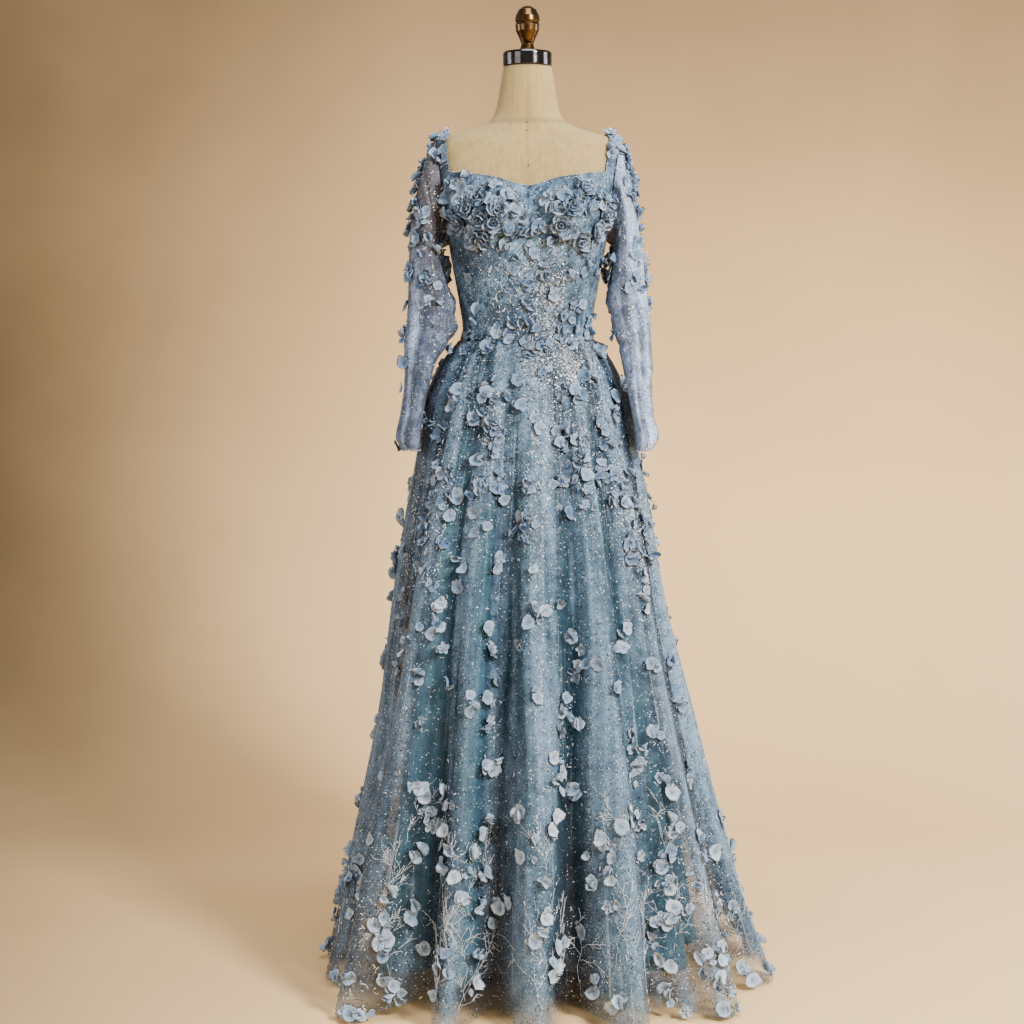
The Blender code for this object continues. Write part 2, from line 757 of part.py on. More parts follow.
def sleeve(name, table, sign):
    """A tube from the armhole to the wrist; its outside is the given surface."""
    turns = np.arange(SLEEVE_AROUND) * 360 / SLEEVE_AROUND
    first = bodice(*angle_height(armhole_on_form(turns)), BODICE_WALL + SLEEVE_LAP)
    rows = np.array(table, float)
    place = np.linspace(0, len(rows) - 1, SLEEVE_ROWS)
    values = [smooth_curve(place, np.arange(len(rows)), c) for c in rows.T]
    outer_x, outer_z, inner_x, inner_z, forward, half_depth, lean = np.array(values)[:, None]
    out, ahead = np.cos(np.radians(turns))[:, None], np.sin(np.radians(turns))[:, None]
    x = (outer_x + inner_x) / 2 + (outer_x - inner_x) / 2 * out - lean * ahead
    y = ARMHOLE_BACK - forward - half_depth * ahead
    z = (outer_z + inner_z) / 2 + (outer_z - inner_z) / 2 * out
    grid = np.concatenate([first[:, None], np.stack([x, y, z], axis=-1)], axis=1)
    if sign < 0:
        grid = grid[::-1] * (-1, 1, 1)
    made = new_object(name, grid_mesh(name, grid[:, ::-1], around=True), "sleeve")
    solidify = made.modifiers.new("wall", "SOLIDIFY")
    solidify.thickness = SLEEVE_WALL * MM
    solidify.offset = -1


def fold_columns(first, last, steps, height):
    """Angles that run down with the folds, some steps from each crest to its recess."""
    places, _ = fold_places(height)
    part = np.arange((last - first) * steps + 1) / steps + first
    index = np.minimum(part.astype(int), last - 1)
    share = (part - index)[:, None]
    return places[index] * (1 - share) + places[index + 1] * share


def skirt_skin(surface, first, last, steps, heights, out=0.0):
    """A grid of points over some folds of a surface, moved out."""
    heights = np.array(heights, float)
    angles = fold_columns(first, last, steps, heights)
    return surface(angles, heights[None]) + out * normals_of(surface, angles, heights[None])


def skirt_panels():
    """Overskirt and lining: one front and two backs each. Returns the overskirt's outsides."""
    panels = (
        ("front", LEFT_SEAM, RIGHT_SEAM),
        ("back_right", RIGHT_SEAM, CENTRE_BACK),
        ("back_left", CENTRE_BACK, len(FOLDS) - 1),
    )
    made = {}
    for place, first, last in panels:
        net = (skirt, first, last, SKIRT_STEPS, SKIRT_ROWS)
        wall(f"skirt_{place}", skirt_skin(*net), skirt_skin(*net, TULLE_WALL), "tulle")
        made[place] = [skirt_skin(*net, TULLE_WALL + SEAM_GAP + up) for up in (0, LACE_WALL)]
        satin = (lining, first, last, LINING_STEPS, LINING_ROWS)
        wall(f"lining_{place}", skirt_skin(*satin, -LINING_WALL), skirt_skin(*satin), "satin")
    return made


# ------------------------------------------------------------------------ applique


def petal(name, centre, normal, radius, turn):
    """A cupped petal: a shallow bowl with a sharp rim, its root in the lace."""
    bm = bmesh.new()
    made = bmesh.ops.create_circle(bm, segments=PETAL_SIDES, radius=radius * MM)
    rim = made["verts"]
    for i, vertex in enumerate(rim):
        vertex.co.z = (PETAL_RISE + 1.4 * (i % 2)) * MM
    edges = list(bm.edges)
    for height in (-PETAL_ROOT, 2.4):
        tip = bm.verts.new((0, 0, height * MM))
        for line in edges:
            bm.faces.new((line.verts[0], line.verts[1], tip))
    bmesh.ops.recalc_face_normals(bm, faces=bm.faces)
    mesh = bpy.data.meshes.new(name)
    bm.to_mesh(mesh)
    bm.free()
    up = np.array(normal)
    side = np.cross(up, (0.3, 0.1, 1.0))
    side /= np.linalg.norm(side)
    other = np.cross(up, side)
    across = side * math.cos(turn) + other * math.sin(turn)
    frame = np.stack([across, np.cross(up, across), up], axis=1)
    made = cutter(name, mesh)
    matrix = np.eye(4)
    matrix[:3, :3] = frame
    matrix[:3, 3] = centre * MM
    made.matrix_world = [list(row) for row in matrix.T]
    return made


def applique(name, skins, columns, rows, count, dice):
    """Lace over some columns and rows of a panel's points, with petals fused to it."""
    cut = np.s_[columns[0] : columns[1] + 1, rows[0] : rows[1] + 1]
    inside, outside = (skin[cut] for skin in skins)
    normals = (outside - inside) / LACE_WALL
    lace = wall(name, inside, outside, "petal")
    faces = [(i, j) for i in range(inside.shape[0] - 1) for j in range(inside.shape[1] - 1)]
    layers = -(-count // len(faces))
    order = dice.permutation(len(faces))
    for number in range(count):
        layer, pick = divmod(number, len(faces))
        i, j = faces[order[pick]]
        share = (layer + dice.uniform(0.3, 0.7)) / layers
        centre = outside[i, j] * (1 - share) + outside[i + 1, j + 1] * share
        normal = normals[i : i + 2, j : j + 2].mean(axis=(0, 1)) + dice.uniform(-0.12, 0.12, 3)
        normal /= np.linalg.norm(normal)
        radius = dice.uniform(*PETAL_RADIUS)
        shape = petal(f"{name}_petal_{number}", centre, normal, radius, dice.uniform(0, 6))
        joined(lace, shape)


def appliques(cup_panel, skirts):
    dice = np.random.default_rng(8)
    raised = gathers(cup_panel) + BODICE_WALL + SEAM_GAP
    angle, height = cup_panel[..., 0], cup_panel[..., 1]
    right = [bodice(angle, height, raised + up) for up in (0, LACE_WALL)]
    left = [mirrored(skin) for skin in right]
    first, last = BUST_PATCH["columns"]
    end = cup_panel.shape[0] - 1
    rows, count = BUST_PATCH["rows"], BUST_PATCH["petals"]
    applique("applique_bust_right", right, (first, last), rows, count, dice)
    applique("applique_bust_left", left, (end - last, end - first), rows, count, dice)
    for name, column_at, low, high, count in SKIRT_STRIPS:
        skins = skirts["front" if name.startswith("front") else name]
        columns = (column_at, column_at + 1)
        applique(f"applique_skirt_{name}", skins, columns, (low, high), count, dice)


# ----------------------------------------------------------------------------- zip


def zip_parts():
    """The slider with its lugs and pin, and the pull tab hung on the pin."""
    middle = SLIDER["top"] - SLIDER["height"] / 2
    size = (SLIDER["width"], SLIDER["depth"], SLIDER["height"])
    face = ZIP_FACE + SLIDER["depth"]
    slider = new_object(
        "zip_slider",
        block_mesh("zip_slider", size, (0, ZIP_FACE + SLIDER["depth"] / 2, middle)),
        "zip",
    )
    pin_y = face + PIN_OUT
    for side in (-1, 1):
        lug_size = (LUG["width"], LUG["depth"] + 0.5, LUG["height"])
        centre = (side * LUG["across"], face + LUG["depth"] / 2 - 0.25, middle)
        joined(slider, cutter(f"lug_{side}", block_mesh("lug", lug_size, centre)))
    pin_length = 2 * LUG["across"]
    pin = rod_mesh("pin", PIN_RADIUS, pin_length, (0, pin_y, middle), sides=12)
    joined(slider, cutter("pin", pin))

    pivot = (0, pin_y, middle)
    reach = TAB["length"] - 1.1
    plate = block_mesh(
        "zip_pull",
        (TAB["width"], TAB["thickness"], reach),
        (0, 0, -1.1 - reach / 2),
    )
    pull = new_object("zip_pull", plate, "zip")
    bevel = pull.modifiers.new("corners", "BEVEL")
    bevel.width = 0.00018
    bevel.segments = 1
    pull.location = [c * MM for c in pivot]
    barrel = rod_mesh("barrel", BARREL["radius"], BARREL["length"], (0, 0, 0), sides=14)
    bore = rod_mesh("bore", BARREL["bore"], BARREL["length"] + 4, (0, 0, 0), sides=14)
    for shape, operation in ((barrel, "UNION"), (bore, "DIFFERENCE")):
        helper = cutter(shape.name, shape)
        helper.location = pull.location
        joined(pull, helper, operation)


def clear_scene():
    for found in list(bpy.data.objects):
        bpy.data.objects.remove(found)


def build():
    form_torso()
    stand()
    strap = strap_grid()
    away = field_normal(strap)
    room = form_room(strap[..., 2])[..., None]
    strap_skins = [(strap + away * (room + out))[::-1] for out in (0, BODICE_WALL)]
    bodice_sides("strap", strap_skins)
    cup = cup_grid(strap)
    bodice_sides("cup", bodice_skins(cup, gathers(cup)))
    armpit = bodice_panels(cup)
    back_panel(armpit, strap)
    sleeve("sleeve_left", SLEEVE_LEFT, -1)
    sleeve("sleeve_right", SLEEVE_RIGHT, 1)
    appliques(cup, skirt_panels())
    zip_parts()


clear_scene()
DRESS = collection("a_line_evening_dress")
CUTTERS = collection("cutters", hidden=True)
build()
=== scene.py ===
"""The looks of the evening dress and its form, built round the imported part.

Tables and named sizes are in mm and degrees, as in the part's source, and turn into
metres where a mesh is made. Left is -X. Angles go round the vertical axis: 0 is the
front, 90 is +X. A fold's number runs round the skirt from the left side seam: even
numbers are crests, odd ones are recesses.
"""

import math

import bpy
import numpy as np
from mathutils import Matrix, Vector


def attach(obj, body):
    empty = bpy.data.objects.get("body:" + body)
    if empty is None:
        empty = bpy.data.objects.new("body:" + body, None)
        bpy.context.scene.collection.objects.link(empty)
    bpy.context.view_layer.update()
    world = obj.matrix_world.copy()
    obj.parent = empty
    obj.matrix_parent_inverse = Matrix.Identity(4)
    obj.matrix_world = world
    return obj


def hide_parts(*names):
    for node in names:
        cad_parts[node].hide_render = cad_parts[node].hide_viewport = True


MM = 0.001
BODY = "dress_and_form"

# Walls and clearances
BODICE_WALL = 2.0
TULLE_WALL = 1.4
LINING_WALL = 1.2
SLEEVE_LAP = 1.4

# Room between form and bodice: it fits closest at the waist and on the shoulders
ROOM_COLUMNS = ("height", "room")
FORM_ROOM = ((1165, 0.95), (1200, 1.4), (1290, 2.3), (1465, 2.2), (1530, 1.5))

# Heights
WAIST = 1165.0
HEM = 6.0
TORSO_BOTTOM = 885.0

# The form: a ring for each height, squareness 2 being an ellipse
BODY_COLUMNS = ("height", "half_width", "front", "back", "squareness")
BODY_SECTIONS = (
    (885, 168, 104, 122, 2.2), (960, 178, 110, 128, 2.2), (1040, 170, 108, 122, 2.2),
    (1100, 153, 101, 108, 2.2), (1140, 134, 95, 96, 2.2), (1165, 121, 91, 89, 2.2),
    (1189, 115.5, 88, 86, 2.2), (1228, 120, 90, 88, 2.2), (1287, 130, 97, 94, 2.3),
    (1344, 140, 103, 101, 2.4), (1390, 148, 103, 104, 2.6), (1429, 154, 98, 104, 2.9),
    (1464, 160, 88, 99, 3.0), (1498, 164, 75, 89, 2.9), (1517, 164, 67, 80, 2.7),
    (1527, 161, 62, 76, 2.5), (1534, 149, 58, 73, 2.4), (1542, 122, 54, 69, 2.3),
    (1550, 94, 52, 64, 2.2), (1561, 72, 50, 58, 2.1), (1576, 60, 49, 52, 2.0),
    (1601, 54, 47, 48, 2.0), (1660, 44, 42, 42, 2.0),
)
BUST_OUT = 74.0
BUST_HEIGHT = 1387.0
FORM_BUST = 23.0
DRESS_BUST = 27.0
BUST_SPREAD = 42.0
BUST_FALL_BELOW = 34.0

# The overskirt: half lengths of its ring at each height, without the folds
SKIRT_COLUMNS = ("height", "left", "right", "front", "back")
SKIRT_SECTIONS = (
    (6, 372, 444, 424, 470), (132, 345, 398, 396, 436), (314, 307, 342, 350, 380),
    (495, 272, 296, 303, 323), (676, 250, 254, 253, 264), (855, 222, 227, 199, 208),
    (966, 201, 204, 161, 171), (1055, 190, 191, 133, 138), (1092, 174, 173, 121, 124),
    (1129, 154, 154, 109, 109), (1165, 124.5, 124.5, 94.5, 92.5),
)
SKIRT_SQUARENESS = 2.25

# Folds, round from the left side seam: where each crest or recess lies at the hip and
# at the hem, how far out it stands at the hem, and the height where it begins
FOLDS = (
    (-90, -87, 4, 1060), (-79, -77, -30, 1040), (-69, -68, 12, 1060), (-58, -58, -20, 1080),
    (-46, -43, 66, 1100), (-37, -29, -46, 1110), (-27, -19, 22, 1120), (-14, -10, -84, 1150),
    (1, 2, 30, 1155), (27, 13, -92, 1140), (38, 24, 24, 1110), (48, 33, -34, 1090),
    (58, 45, 42, 1080), (67, 60, -16, 1060), (76, 70, 24, 1050), (83, 81, -26, 1040),
    (91, 91, 6, 1060), (101, 101, -42, 1080), (111, 110, 16, 1070), (120, 121, -38, 1100),
    (131, 132, 22, 1090), (142, 141, -50, 1110), (151, 151, 24, 1100), (161, 162, -56, 1120),
    (170, 171, 20, 1110), (180, 180, -44, 1130), (190, 189, 26, 1110), (199, 200, -58, 1120),
    (209, 210, 18, 1100), (220, 219, -40, 1100), (229, 230, 22, 1080), (239, 240, -46, 1090),
    (250, 249, 14, 1070), (260, 261, -34, 1060), (270, 273, 4, 1060),
)
FOLD_GROWTH = 1.12
FOLD_DRIFT = 1.5

# Room between overskirt and lining
LINING_COLUMNS = ("height", "left", "right", "front", "back")
LINING_GAPS = (
    (66, 128, 128, 34, 60), (300, 84, 84, 24, 40), (600, 44, 50, 15, 22), (828, 15, 15, 9, 10),
    (966, 7, 7, 5, 6), (1100, 2.5, 2.5, 2, 2), (1165, 0.6, 0.6, 0.6, 0.6),
)
LINING_HEM = 66.0

# Bodice seams
PRINCESS = 38.0
NECKLINE_COLUMNS = ("angle", "height")
FRONT_NECKLINE = ((0, 1436), (14, 1443), (32, 1454), (50, 1461), (62, 1467))
BACK_NECKLINE = ((116, 1461), (128, 1449), (150, 1437), (180, 1430))
UNDERBUST = ((0, 1356), (22, 1344), (42, 1338), (62, 1346), (90, 1360))

# Armhole, an ellipse as seen from the side, and the strap along its top
ARMHOLE_HEIGHT = 1437.0
ARMHOLE_HALF_HEIGHT = 91.0
ARMHOLE_HALF_DEPTH = 50.0
ARMHOLE_BACK = 3.0
STRAP_TURN = 65.0
STRAP_WIDTH = 22.0
CUP_TURN = 150.0

# Sleeves: where each section's outer and inner side lie, half its depth, how far
# forward it hangs, and how much its back leans out
SLEEVE_LEFT = (
    (180, 1515, 155, 1337, 0, 60, 0), (191, 1477, 156, 1327, 1, 62, 0),
    (201, 1436, 155, 1316, 3, 62, 0), (210, 1390, 152, 1300, 6, 60, 0),
    (214, 1340, 147, 1279, 12, 56, 1), (216, 1287, 139, 1254, 20, 52, 2),
    (217, 1238, 130, 1221, 31, 47, 3), (220, 1195, 129, 1188, 42, 45, 4),
    (224, 1160, 145, 1158, 50, 43, 5), (222, 1126, 165, 1128, 60, 42, 6),
    (223, 1082, 178, 1084, 72, 41, 7), (230, 1032, 189, 1032, 80, 39, 8),
    (237, 996, 194, 996, 84, 38, 8), (229, 969, 196, 969, 86, 36, 8),
)
SLEEVE_RIGHT = (
    (176, 1513, 155, 1337, 0, 60, 0), (185, 1475, 156, 1327, 1, 62, 0),
    (195, 1434, 155, 1316, 3, 62, 0), (202, 1390, 152, 1300, 6, 60, 0),
    (208, 1340, 149, 1279, 12, 56, 1), (213, 1287, 144, 1254, 20, 52, 2),
    (219, 1238, 147, 1221, 31, 48, 3), (224, 1195, 156, 1188, 42, 45, 4),
    (225, 1160, 164, 1158, 50, 43, 5), (226, 1126, 171, 1128, 60, 42, 6),
    (225, 1082, 179, 1084, 72, 41, 7), (228, 1032, 190, 1032, 80, 39, 8),
    (237, 996, 196, 996, 84, 38, 8), (226, 969, 198, 969, 86, 36, 8),
)
SLEEVE_ROWS = 14


# Fineness of the visual cloth
SKIRT_PARTS = (("front", 0, 16, 18), ("back_right", 16, 25, 15), ("back_left", 25, 34, 15))
NET_ROWS, SATIN_ROWS = 84, 54
SLEEVE_STEPS, SLEEVE_LENGTH_STEPS = 60, 104
TORSO_STEPS, TORSO_ROWS = 96, 110
TURNED_STEPS = 96

# Walls of the visual cloth, and its hem
NET_THICK = 0.6
SLEEVE_THICK = 0.6
BODICE_INSIDE = 0.5
HEM_LIFT = 16.0
FADE_BELOW_WAIST = 45.0
ROOM_FOR_CREASES = 9.0
FOLD_WIDTH = 55.0
SHEER_BELOW, GATHERED_ABOVE = 840.0, 1110.0
HOLLOW_BELOW = 560.0
NECK_SLOPE, NECK_ROUND = 0.5, 9.0
SLEEVE_STEP_WIDTH = 4.0

# The torso's seams and pins
NECK_TOP = 1660.0
NECK_SEAM = 1561.0
TORSO_SEAMS = ((0, 0.4), (34, 0.2), (-34, 0.2), (92, 0.6), (-92, 0.6), (180, 0.5))
SEAM_HALF_WIDTH = 1.3
SEAM_DEPTH = 0.8
PINS = ((-2, 1556), (-2, 1541), (1, 1477))

# Creases of the net: fold number, half width in folds, how far out, lowest
# and highest point
NET_CREASES = (
    (0.5, 0.14, -6, 20, 900), (1.6, 0.12, 5, -40, 620), (2.4, 0.16, -7, -60, 980),
    (3.1, 0.10, 4, 200, 1090), (3.6, 0.14, -8, -80, 760), (4.35, 0.10, -5, 120, 1080),
    (4.7, 0.13, 6, -60, 700), (5.3, 0.12, 5, 300, 1100), (5.65, 0.10, -6, -40, 820),
    (6.25, 0.12, 5, 60, 1040), (6.7, 0.10, -6, 260, 1130), (7.2, 0.08, 7, -60, 690),
    (7.45, 0.07, -6, 180, 1120), (7.75, 0.08, 6, -40, 900), (8.2, 0.11, -6, 240, 1140),
    (8.55, 0.09, 5, -60, 660), (8.85, 0.07, 6, 320, 1100), (9.15, 0.08, -5, -40, 980),
    (9.45, 0.09, 7, 100, 1060), (9.8, 0.09, -6, -60, 740), (10.25, 0.12, 5, 330, 1120),
    (10.6, 0.10, -6, -40, 900), (11.2, 0.14, 6, 60, 1060), (11.7, 0.12, -5, -60, 700),
    (12.3, 0.12, -7, 160, 1080), (12.75, 0.10, 5, -60, 620), (13.4, 0.14, -6, 40, 960),
    (14.3, 0.15, 6, -60, 760), (15.2, 0.14, -6, 100, 1000), (16.4, 0.14, -6, -60, 820),
    (17.5, 0.12, 5, 80, 980), (18.3, 0.15, -6, -40, 700), (19.4, 0.12, 6, 160, 1060),
    (20.25, 0.13, -7, -60, 900), (21.5, 0.12, 5, 60, 760), (22.3, 0.12, -6, 240, 1080),
    (23.45, 0.14, 6, -60, 840), (24.4, 0.12, -6, 120, 1040), (25.5, 0.13, 6, -40, 780),
    (26.4, 0.12, -5, 200, 1090), (27.6, 0.14, 6, -60, 880), (28.3, 0.12, -7, 60, 700),
    (29.4, 0.13, 5, 180, 1050), (30.5, 0.12, -6, -60, 900), (31.6, 0.14, 6, 80, 980),
    (32.4, 0.13, -5, -40, 740), (33.4, 0.14, 5, 160, 940),
)
SATIN_CREASES = (
    (1.2, 0.20, -5, 60, 700), (2.8, 0.16, 4, 0, 900), (4.1, 0.18, -4, 100, 760),
    (5.4, 0.15, 5, 0, 860), (6.5, 0.16, -5, 200, 940), (7.3, 0.12, 4, 0, 620),
    (8.3, 0.14, -4, 120, 900), (9.3, 0.13, 5, 0, 780), (10.5, 0.15, -5, 60, 860),
    (11.6, 0.16, 4, 0, 700), (13.1, 0.18, -5, 140, 820), (14.7, 0.18, 5, 0, 640),
    (16.6, 0.18, -5, 60, 760), (18.8, 0.16, 5, 0, 880), (21.1, 0.17, -4, 120, 700),
    (23.2, 0.16, 5, 0, 820), (26.1, 0.17, -5, 80, 900), (28.7, 0.16, 4, 0, 740),
    (31.2, 0.17, -5, 140, 860), (33.1, 0.16, 4, 0, 660),
)

# Gathers of a cup: place up its centre edge, half width, how far out, and bow
PLEATS = (
    (0.07, 0.035, 2.6, -0.16), (0.19, 0.040, 3.4, -0.10), (0.32, 0.034, 2.4, -0.02),
    (0.44, 0.042, 3.6, 0.05), (0.57, 0.034, 2.6, 0.12), (0.69, 0.040, 3.2, 0.20),
    (0.82, 0.034, 2.2, 0.28),
)

# Drag lines of the panels: share of the width at the bottom and at the top, half
# width and how far out
FRONT_DRAGS = (
    (0.08, 0.16, 0.022, 0.7), (0.22, 0.31, 0.018, -0.5), (0.36, 0.40, 0.024, 0.8),
    (0.47, 0.49, 0.016, 0.5), (0.58, 0.56, 0.022, 0.7), (0.70, 0.66, 0.018, -0.5),
    (0.83, 0.78, 0.024, 0.8), (0.94, 0.88, 0.018, 0.5),
)
SIDE_DRAGS = ((0.2, 0.3, 0.06, 0.8), (0.5, 0.62, 0.05, -0.6), (0.78, 0.7, 0.06, 0.7))
BACK_DRAGS = (
    (0.12, 0.2, 0.035, 0.8), (0.33, 0.36, 0.03, -0.6), (0.55, 0.52, 0.035, 0.9),
    (0.74, 0.78, 0.03, 0.6), (0.9, 0.88, 0.03, -0.6),
)

# Creases across a sleeve: row from the shoulder, the way they face, slant in rows,
# half width in rows and how far out
SLEEVE_CREASES = {
    -1: (
        (1.7, 30, 0.35, 0.16, -2.6), (2.6, -20, -0.3, 0.18, 2.2), (4.2, 60, 0.5, 0.2, -2.4),
        (5.5, 170, 0.4, 0.16, -3.0), (6.4, 190, -0.5, 0.18, 3.4), (7.1, 160, 0.5, 0.16, -4.2),
        (7.8, 200, -0.4, 0.18, 3.6), (8.6, 150, 0.4, 0.16, -3.2), (10.0, 20, 0.4, 0.2, 2.0),
        (11.7, 90, -0.3, 0.18, -1.8), (13.3, 10, 0.2, 0.16, 1.6),
    ),
    1: (
        (1.5, 10, 0.3, 0.18, -2.4), (2.9, 50, -0.4, 0.16, 2.2), (4.5, 20, 0.4, 0.2, -2.2),
        (5.8, 180, 0.5, 0.18, -3.4), (6.7, 165, -0.4, 0.16, 3.0), (7.4, 195, 0.4, 0.18, -4.0),
        (8.2, 170, -0.5, 0.16, 3.2), (9.2, 200, 0.3, 0.18, -2.8), (10.6, 60, 0.4, 0.2, 2.0),
        (12.1, 0, -0.3, 0.18, -1.8), (13.5, 40, 0.2, 0.16, 1.4),
    ),
}
SLEEVE_LENGTHS = (
    (15, 11, 2.0), (58, 9, -2.4), (105, 12, 1.8), (160, 10, -2.2), (214, 12, 2.0), (262, 9, -1.8),
    (318, 11, 1.6),
)

# Colours, in linear light
SATIN_PALE = (0.115, 0.265, 0.37)
SATIN_PAINTED_SHINE = (0.34, 0.52, 0.62)
SATIN_DEEP = (0.006, 0.035, 0.07)
SATIN_GREEN = (0.08, 0.21, 0.25)
NET_PALE = (0.24, 0.38, 0.54)
NET_DEEP = (0.022, 0.05, 0.09)
NET_PAINTED_HIGHLIGHT = (0.62, 0.70, 0.78)
NET_SHADE = (0.10, 0.085, 0.09)
SLEEVE_PALE = (0.50, 0.65, 0.93)
SLEEVE_DEEP = (0.09, 0.12, 0.20)
SEQUIN_PALE = (0.86, 0.92, 1.0)
SEQUIN_DARK = (0.008, 0.014, 0.022)
BODICE_PALE = (0.25, 0.41, 0.60)
BODICE_DEEP = (0.02, 0.05, 0.09)
PETAL_PALE = (0.64, 0.77, 0.92)
PETAL_DEEP = (0.13, 0.24, 0.42)
PETAL_RIM_HIGHLIGHT = (0.80, 0.88, 0.96)
PETAL_SHADE_AND_VEINS = (0.05, 0.11, 0.22)
LINEN_PALE = (0.56, 0.43, 0.21)
LINEN_DEEP = (0.41, 0.30, 0.135)
LINEN_SEAM = (0.26, 0.20, 0.13)

# Cap and finial: radius and height down each turned outline
CAP_PROFILE = ((0, 1687), (42, 1687), (44.5, 1684), (44.5, 1662), (43, 1660.4), (0, 1660.4))
FINIAL_PROFILE = (
    (0, 1769), (8, 1767.5), (16, 1762), (21.5, 1751), (22.5, 1742), (20.5, 1739), (22, 1735),
    (21, 1724), (15, 1711), (11, 1701), (13, 1693.5), (18, 1687.3), (0, 1687.3),
)

# Petals and trims
PETAL_LIFT = 0.05
PETAL_THICK = 0.03
ABOVE_FLOOR = 1.15
OUTLINE_WAVES = ((2, 0.08), (3, 0.08), (5, 0.06), (9, 0.05))
HEIGHT_WAVES = ((2, 0.13), (3, 0.13), (5, 0.10), (7, 0.08))
BUGLE_RADIUS = 0.9
STRAND_RADIUS = 0.36
VINE_STEP = 5.0

# Vines of tube beads on the skirt: x and height of the root, heading and length
SPRAYS = (
    (-118, 34, 0.2, 160), (-104, 60, -0.1, 180), (-128, 110, 0.25, 150), (-140, 170, 0.1, 110),
    (-150, 60, -0.4, 120), (-235, 70, 0.3, 120), (-285, 120, -0.2, 130), (-255, 200, 0.3, 110),
    (-130, 250, 0.1, 100), (20, 70, -0.2, 150), (52, 100, 0.6, 110), (96, 40, -0.3, 120),
    (150, 110, 0.2, 140), (205, 60, -0.2, 150), (255, 120, 0.4, 120), (310, 90, -0.1, 150),
    (375, 60, 0.2, 130), (30, 260, 0.1, 90), (160, 300, -0.2, 100), (245, 260, 0.2, 110),
    (-75, 240, -0.4, 90), (-210, 300, 0.2, 90),
)

# Camera
CAMERA_AT = (-0.028, -3.6, 1.22)
CAMERA_DOWN = 5.9107
LENS = 68.41
# Colours of the backdrop where it is painted lit and where it is painted shaded
BACKDROP_LIT = (0.93, 0.665, 0.37)
BACKDROP_SHADED = (0.21, 0.145, 0.08)

WALL = {"start": 0.9, "bend": 1.2, "top": 2.4, "half_width": 1.62}
FLOOR_HALF = 6.0

# Teeth of the closed zip
SLIDER_FOOT, TOOTH_PITCH = 1409.0, 1.6
TOOTH_SIZE = (1.2, 0.7, 0.6)
ZIP_BARE = 30.0

CAD_KEPT = ("stand_base", "stand_pole", "zip_slider", "zip_pull")

# Groups of petals: x and height in mm, how many, and how far they spread
HIP_GROUPS = (
    (-66, 1152, 3, 10), (90, 1157, 4, 12), (-72, 1085, 4, 12), (-51, 1068, 4, 12),
    (-88, 1029, 4, 14), (-63, 1017, 5, 14), (-48, 1013, 4, 12), (-54, 990, 4, 12),
    (-84, 959, 3, 10), (64, 1072, 4, 12), (91, 1080, 5, 12), (57, 1017, 5, 12), (80, 1012, 5, 12),
    (61, 993, 4, 12), (83, 969, 4, 14), (155, 1042, 4, 12), (148, 992, 5, 14), (133, 953, 4, 12),
    (154, 931, 4, 13), (180, 865, 6, 20), (-3, 924, 4, 12), (11, 922, 4, 12), (-49, 940, 4, 12),
    (-147, 1011, 4, 16), (-172, 1020, 3, 12), (-153, 892, 5, 18), (-134, 954, 4, 14),
    (-44, 913, 4, 13), (55, 924, 4, 13), (78, 939, 4, 13), (-13, 844, 6, 16), (2, 846, 5, 14),
    (213, 841, 8, 24), (219, 790, 7, 22), (199, 779, 5, 18), (-178, 858, 7, 24), (-176, 808, 6, 22),
    (-172, 751, 5, 18), (-116, 889, 4, 16), (161, 894, 5, 18), (-104, 1091, 3, 14),
    (117, 1100, 4, 14), (126, 1023, 4, 14), (-129, 1064, 3, 12), (20, 1031, 2, 10),
    (-13, 1060, 2, 10), (-1, 1146, 3, 10), (36, 1111, 3, 12), (-102, 1154, 2, 10),
    (129, 1144, 3, 12), (112, 938, 4, 14), (56, 868, 3, 14), (-84, 925, 4, 16), (-94, 852, 3, 16),
    (106, 890, 4, 16), (27, 1158, 3, 10), (-25, 1107, 2, 10), (192, 937, 4, 14), (188, 814, 5, 18),
    (-161, 935, 4, 16),
)
KNEE_GROUPS = (
    (9, 764, 2, 10), (5, 714, 2, 9), (15, 691, 3, 10), (-11, 652, 2, 9), (-68, 669, 2, 8),
    (-65, 634, 3, 10), (-55, 595, 2, 8), (77, 668, 2, 8), (79, 634, 3, 10), (83, 587, 2, 8),
    (120, 614, 2, 9), (159, 634, 2, 8), (17, 578, 2, 8), (153, 572, 2, 9), (62, 544, 3, 11),
    (-64, 545, 2, 9), (-96, 538, 3, 10), (-62, 505, 3, 11), (56, 509, 3, 11), (88, 516, 2, 8),
    (227, 494, 3, 10), (190, 467, 4, 16), (-130, 579, 2, 9), (-142, 636, 2, 9), (-156, 666, 2, 8),
    (-222, 671, 3, 10), (-217, 629, 3, 10), (-233, 575, 3, 12), (-193, 573, 2, 9),
    (-179, 512, 2, 10), (-153, 714, 2, 10), (165, 663, 2, 9), (262, 617, 2, 10), (272, 509, 3, 12),
    (204, 706, 2, 10), (-127, 781, 3, 16), (-48, 788, 2, 12), (57, 720, 1, 6), (224, 594, 2, 9),
)
